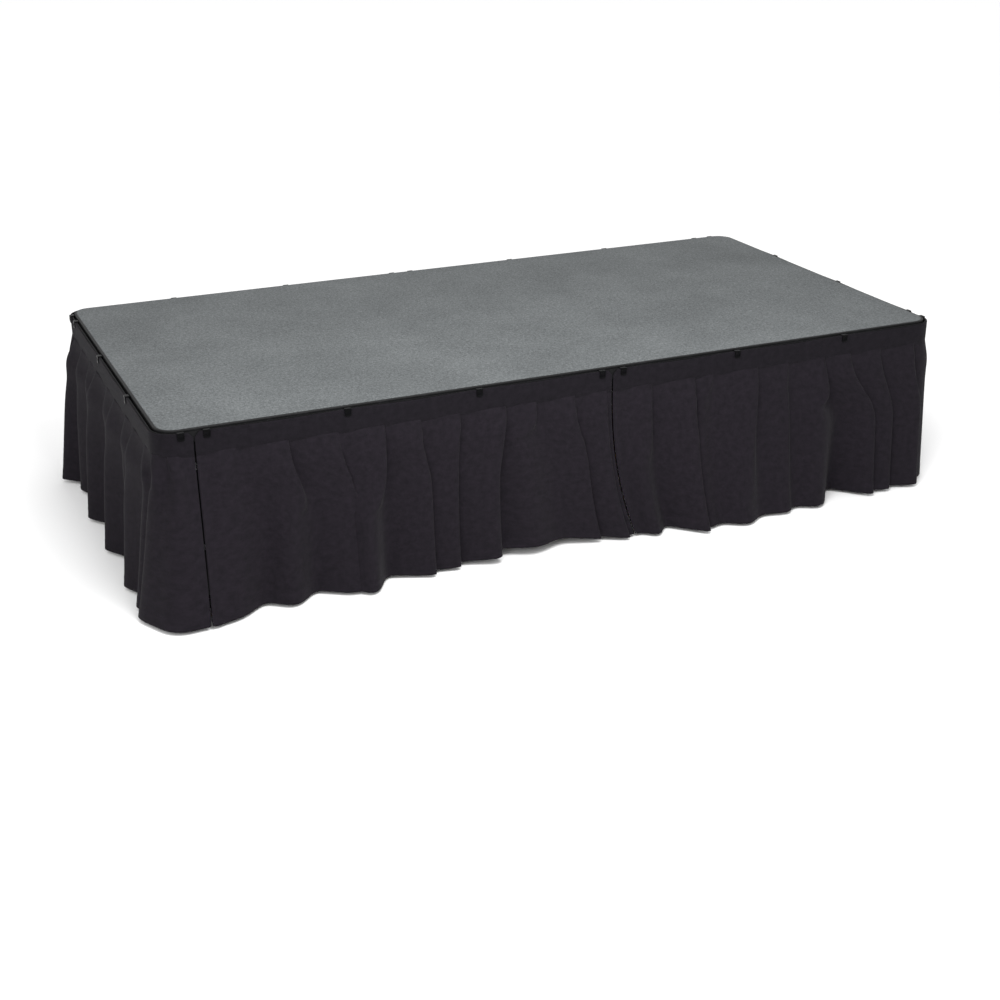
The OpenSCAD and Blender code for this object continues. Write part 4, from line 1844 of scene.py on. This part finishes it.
@dataclass
class LevellingGlides:
    """The four screw-in feet: a rubber pad under a moulded cone, with a hexagon and a threaded stem.

    Attributes:
        pad_radius: radius of the pad.
        pad_height: height of the pad.
        pad_round: radius of its edges.
        cone_low: radius of the cone where it stands on the pad.
        cone_high: its radius at the top.
        cone_top: height of its top.
        cone_foot: height of the nearly straight band round its foot.
        cone_draft: how much that band narrows, as a share.
        groove_in: how far inside the pad's edge the groove in its sole starts.
        groove_width: width of that groove.
        groove_depth: depth of that groove.
        hex_across: width of the hexagon across its flats.
        hex_top: height of its top.
        hex_chamfer: height of its chamfers.
        thread_radius: radius of the thread.
        thread_root: its radius between the ridges, as a share.
        thread_pitch: how far apart the ridges are.
        stem_top: height of the stem's end, inside the leg.
    """

    pad_radius: float = 0.020
    pad_height: float = 0.003
    pad_round: float = 0.0007
    cone_low: float = 0.019
    cone_high: float = 0.009
    cone_top: float = 0.015
    cone_foot: float = 0.0025
    cone_draft: float = 0.96
    groove_in: float = 0.005
    groove_width: float = 0.0025
    groove_depth: float = 0.0008
    hex_across: float = 0.017
    hex_top: float = 0.0238
    hex_chamfer: float = 0.0008
    thread_radius: float = 0.005
    thread_root: float = 0.86
    thread_pitch: float = 0.0015
    stem_top: float = 0.048

    def _model_foot(self) -> bpy.types.Object:
        """Models the pad and the cone above it.

        Returns:
            The foot, standing on the origin.
        """
        deselect_all()
        bpy.ops.mesh.primitive_cylinder_add(
            vertices=48, radius=self.pad_radius, depth=self.pad_height, location=(0, 0, self.pad_height / 2)
        )
        foot = bpy.context.object
        bpy.ops.object.transform_apply(location=True, rotation=True, scale=True)
        bpy.ops.object.mode_set(mode="EDIT")
        select_faces(foot, lambda c, n: n.z > 0.9)
        bpy.ops.mesh.inset(thickness=self.pad_radius - self.cone_low)
        narrow = self.cone_high / (self.cone_draft * self.cone_low)
        rest = self.cone_top - self.pad_height - self.cone_foot
        for rise, size in ((self.cone_foot, self.cone_draft), (rest, narrow)):
            bpy.ops.mesh.extrude_region_move(TRANSFORM_OT_translate={"value": (0, 0, rise)})
            bpy.ops.transform.resize(value=(size, size, 1.0))
        select_faces(foot, lambda c, n: n.z < -0.9)
        bpy.ops.mesh.inset(thickness=self.groove_in)
        bpy.ops.mesh.inset(thickness=self.groove_width)
        middle = self.pad_radius - self.groove_in - self.groove_width / 2
        select_faces(foot, lambda c, n: n.z < -0.9 and abs(c.xy.length - middle) < self.groove_width / 3)
        bpy.ops.mesh.extrude_region_move(TRANSFORM_OT_translate={"value": (0, 0, self.groove_depth)})
        select_edges(
            foot,
            lambda a, b: abs(a.z - b.z) < 0.0001
            and min(a.xy.length, b.xy.length) > self.pad_radius - 0.0001,
        )
        bpy.ops.mesh.bevel(offset=self.pad_round, segments=3, affect="EDGES")
        bpy.ops.mesh.select_all(action="SELECT")
        bpy.ops.mesh.normals_make_consistent(inside=False)
        bpy.ops.object.mode_set(mode="OBJECT")
        bpy.ops.object.shade_smooth_by_angle(angle=math.radians(35))
        return foot

    def _model_stem(self) -> bpy.types.Object:
        """Models the hexagon and the thread above it.

        Returns:
            The stem, in its place above the foot.
        """
        corner = self.hex_across / math.sqrt(3)
        hexagon = add_ringed_rod(
            "glide_hexagon",
            [
                (self.cone_top, corner * 0.94),
                (self.cone_top + self.hex_chamfer, corner),
                (self.hex_top - self.hex_chamfer, corner),
                (self.hex_top, corner * 0.94),
            ],
            6,
        )
        root = self.thread_radius * self.thread_root
        rings = [(self.cone_top, root)]
        turns = round((self.stem_top - self.cone_top) / self.thread_pitch) - 1
        for k in range(turns):
            start = self.cone_top + (k + 0.5) * self.thread_pitch
            rings += [
                (start, root),
                (start + self.thread_pitch * 0.45, self.thread_radius * 0.99),
                (start + self.thread_pitch * 0.55, self.thread_radius * 0.99),
            ]
        rings.append((self.stem_top, self.thread_radius * 0.8))
        thread = add_ringed_rod("glide_thread", rings, 24)
        return join_parts([hexagon, thread], "glide_stem")

    def build(self) -> None:
        """Puts a foot and a stem at each leg."""
        foot, stem = self._model_foot(), self._model_stem()
        for end, side in (("front", "left"), ("front", "right"), ("rear", "left"), ("rear", "right")):
            node = f"glide_{end}_{side}"
            body = f"glide_{end[0]}{side[0]}"
            low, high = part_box(node)
            place = Matrix.Translation(((low.x + high.x) / 2, (low.y + high.y) / 2, 0))
            pad = place_copies(foot, f"glide_foot_{end}_{side}", [place])
            paint(pad, Finish.RUBBER)
            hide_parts(node)
            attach(pad, body)
            screw = place_copies(stem, f"glide_stem_{end}_{side}", [place])
            paint(screw, Finish.ZINC)
            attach(screw, body)
            LOG.info("%s: foot and stem", node)
        bpy.data.objects.remove(foot)
        bpy.data.objects.remove(stem)


# ---------- studio ----------


@dataclass
class Studio:
    """A plain pale floor, soft light and the camera.

    Attributes:
        azimuth: how far the camera stands round from the front, in degrees.
        elevation: how far up it stands, in degrees.
        distance: how far it stands from what it looks at.
        target: the point it looks at.
        lens: its focal length in millimetres.
        floor_size: side of the floor.
        floor_colour: colour of the floor.
        surrounding: strength of the even white light all round.
        aim: the point the lamps face.
        lamps: each lamp's name, place, side and power in watts.
    """

    azimuth: float = -24.209
    elevation: float = 23.384
    distance: float = 2.6674
    target: tuple[float, float, float] = (-0.4489, -1.0194, 0.406)
    lens: float = 55.84
    floor_size: float = 60.0
    floor_colour: str = "#fcfcfc"
    surrounding: float = 1.03
    aim: tuple[float, float, float] = (0.0, 0.0, 0.2)
    lamps: tuple[tuple[str, tuple[float, float, float], float, float], ...] = (
        ("overhead", (-0.3, -1.35, 1.75), 0.9, 32.0),
        ("key", (-2.6, -3.4, 2.2), 1.6, 40.0),
    )

    def back(self) -> Vector:
        """The direction from the target to the camera."""
        a, e = math.radians(self.azimuth), math.radians(self.elevation)
        return Vector((math.sin(a) * math.cos(e), -math.cos(a) * math.cos(e), math.sin(e)))

    def build(self) -> None:
        """Makes the camera, the floor and the lights."""
        self._add_camera()
        self._add_floor()
        self._add_lights()

    def _add_camera(self) -> None:
        """Makes the camera and looks through it."""
        camera = bpy.data.objects.new("camera", bpy.data.cameras.new("camera"))
        bpy.context.scene.collection.objects.link(camera)
        camera.data.lens = self.lens
        camera.data.clip_end = 100
        camera.location = Vector(self.target) + self.back() * self.distance
        camera.rotation_mode = "QUATERNION"
        camera.rotation_quaternion = (-self.back()).to_track_quat("-Z", "Y")
        bpy.context.scene.camera = camera

    def _add_floor(self) -> None:
        """Makes a wide pale floor."""
        deselect_all()
        bpy.ops.mesh.primitive_plane_add(size=self.floor_size)
        floor = bpy.context.object
        floor.name = "floor"
        material, tree, surface = new_material("pale_floor")
        surface.inputs["Base Color"].default_value = linear(self.floor_colour)
        set_surface(tree, surface, {}, {"Roughness": 0.9, "Specular IOR Level": 0.1})
        floor.data.materials.append(material)

    def _add_lights(self) -> None:
        """Makes the even surrounding light and the soft lamps."""
        world = bpy.data.worlds.new("studio")
        world.use_nodes = True
        background = world.node_tree.nodes["Background"]
        background.inputs["Color"].default_value = (1, 1, 1, 1)
        background.inputs["Strength"].default_value = self.surrounding
        bpy.context.scene.world = world
        bpy.context.scene.view_settings.view_transform = "Standard"
        for lamp in self.lamps:
            self._add_lamp(*lamp)

    def _add_lamp(self, name: str, place: tuple[float, float, float], size: float, power: float) -> None:
        """Makes one square lamp that faces the platform.

        Args:
            name: the lamp's name.
            place: where it hangs.
            size: its side.
            power: its power in watts.
        """
        lamp = bpy.data.objects.new(name, bpy.data.lights.new(name, "AREA"))
        bpy.context.scene.collection.objects.link(lamp)
        lamp.data.size = size
        lamp.data.energy = power
        lamp.location = place
        lamp.rotation_mode = "QUATERNION"
        lamp.rotation_quaternion = (Vector(self.aim) - Vector(place)).to_track_quat("-Z", "Y")


def main() -> None:
    logging.basicConfig(level=logging.INFO, format="%(name)s: %(message)s")
    nodes = frame["nodes"]
    Studio().build()
    edge_low, edge_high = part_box("edge_moulding")
    deck = Deck()
    deck.build()
    deck.dress(nodes)
    beads = WeldBeads()
    deck.weld(beads)
    for side in ("left", "right"):
        legs = LegPair(side)
        legs.dress(nodes)
        legs.weld(beads)
    beads.clear()
    LevellingGlides().build()
    Skirt(SkirtLine((edge_high.x - edge_low.x) / 2, (edge_high.y - edge_low.y) / 2)).build()


if __name__ == "__main__":
    main()
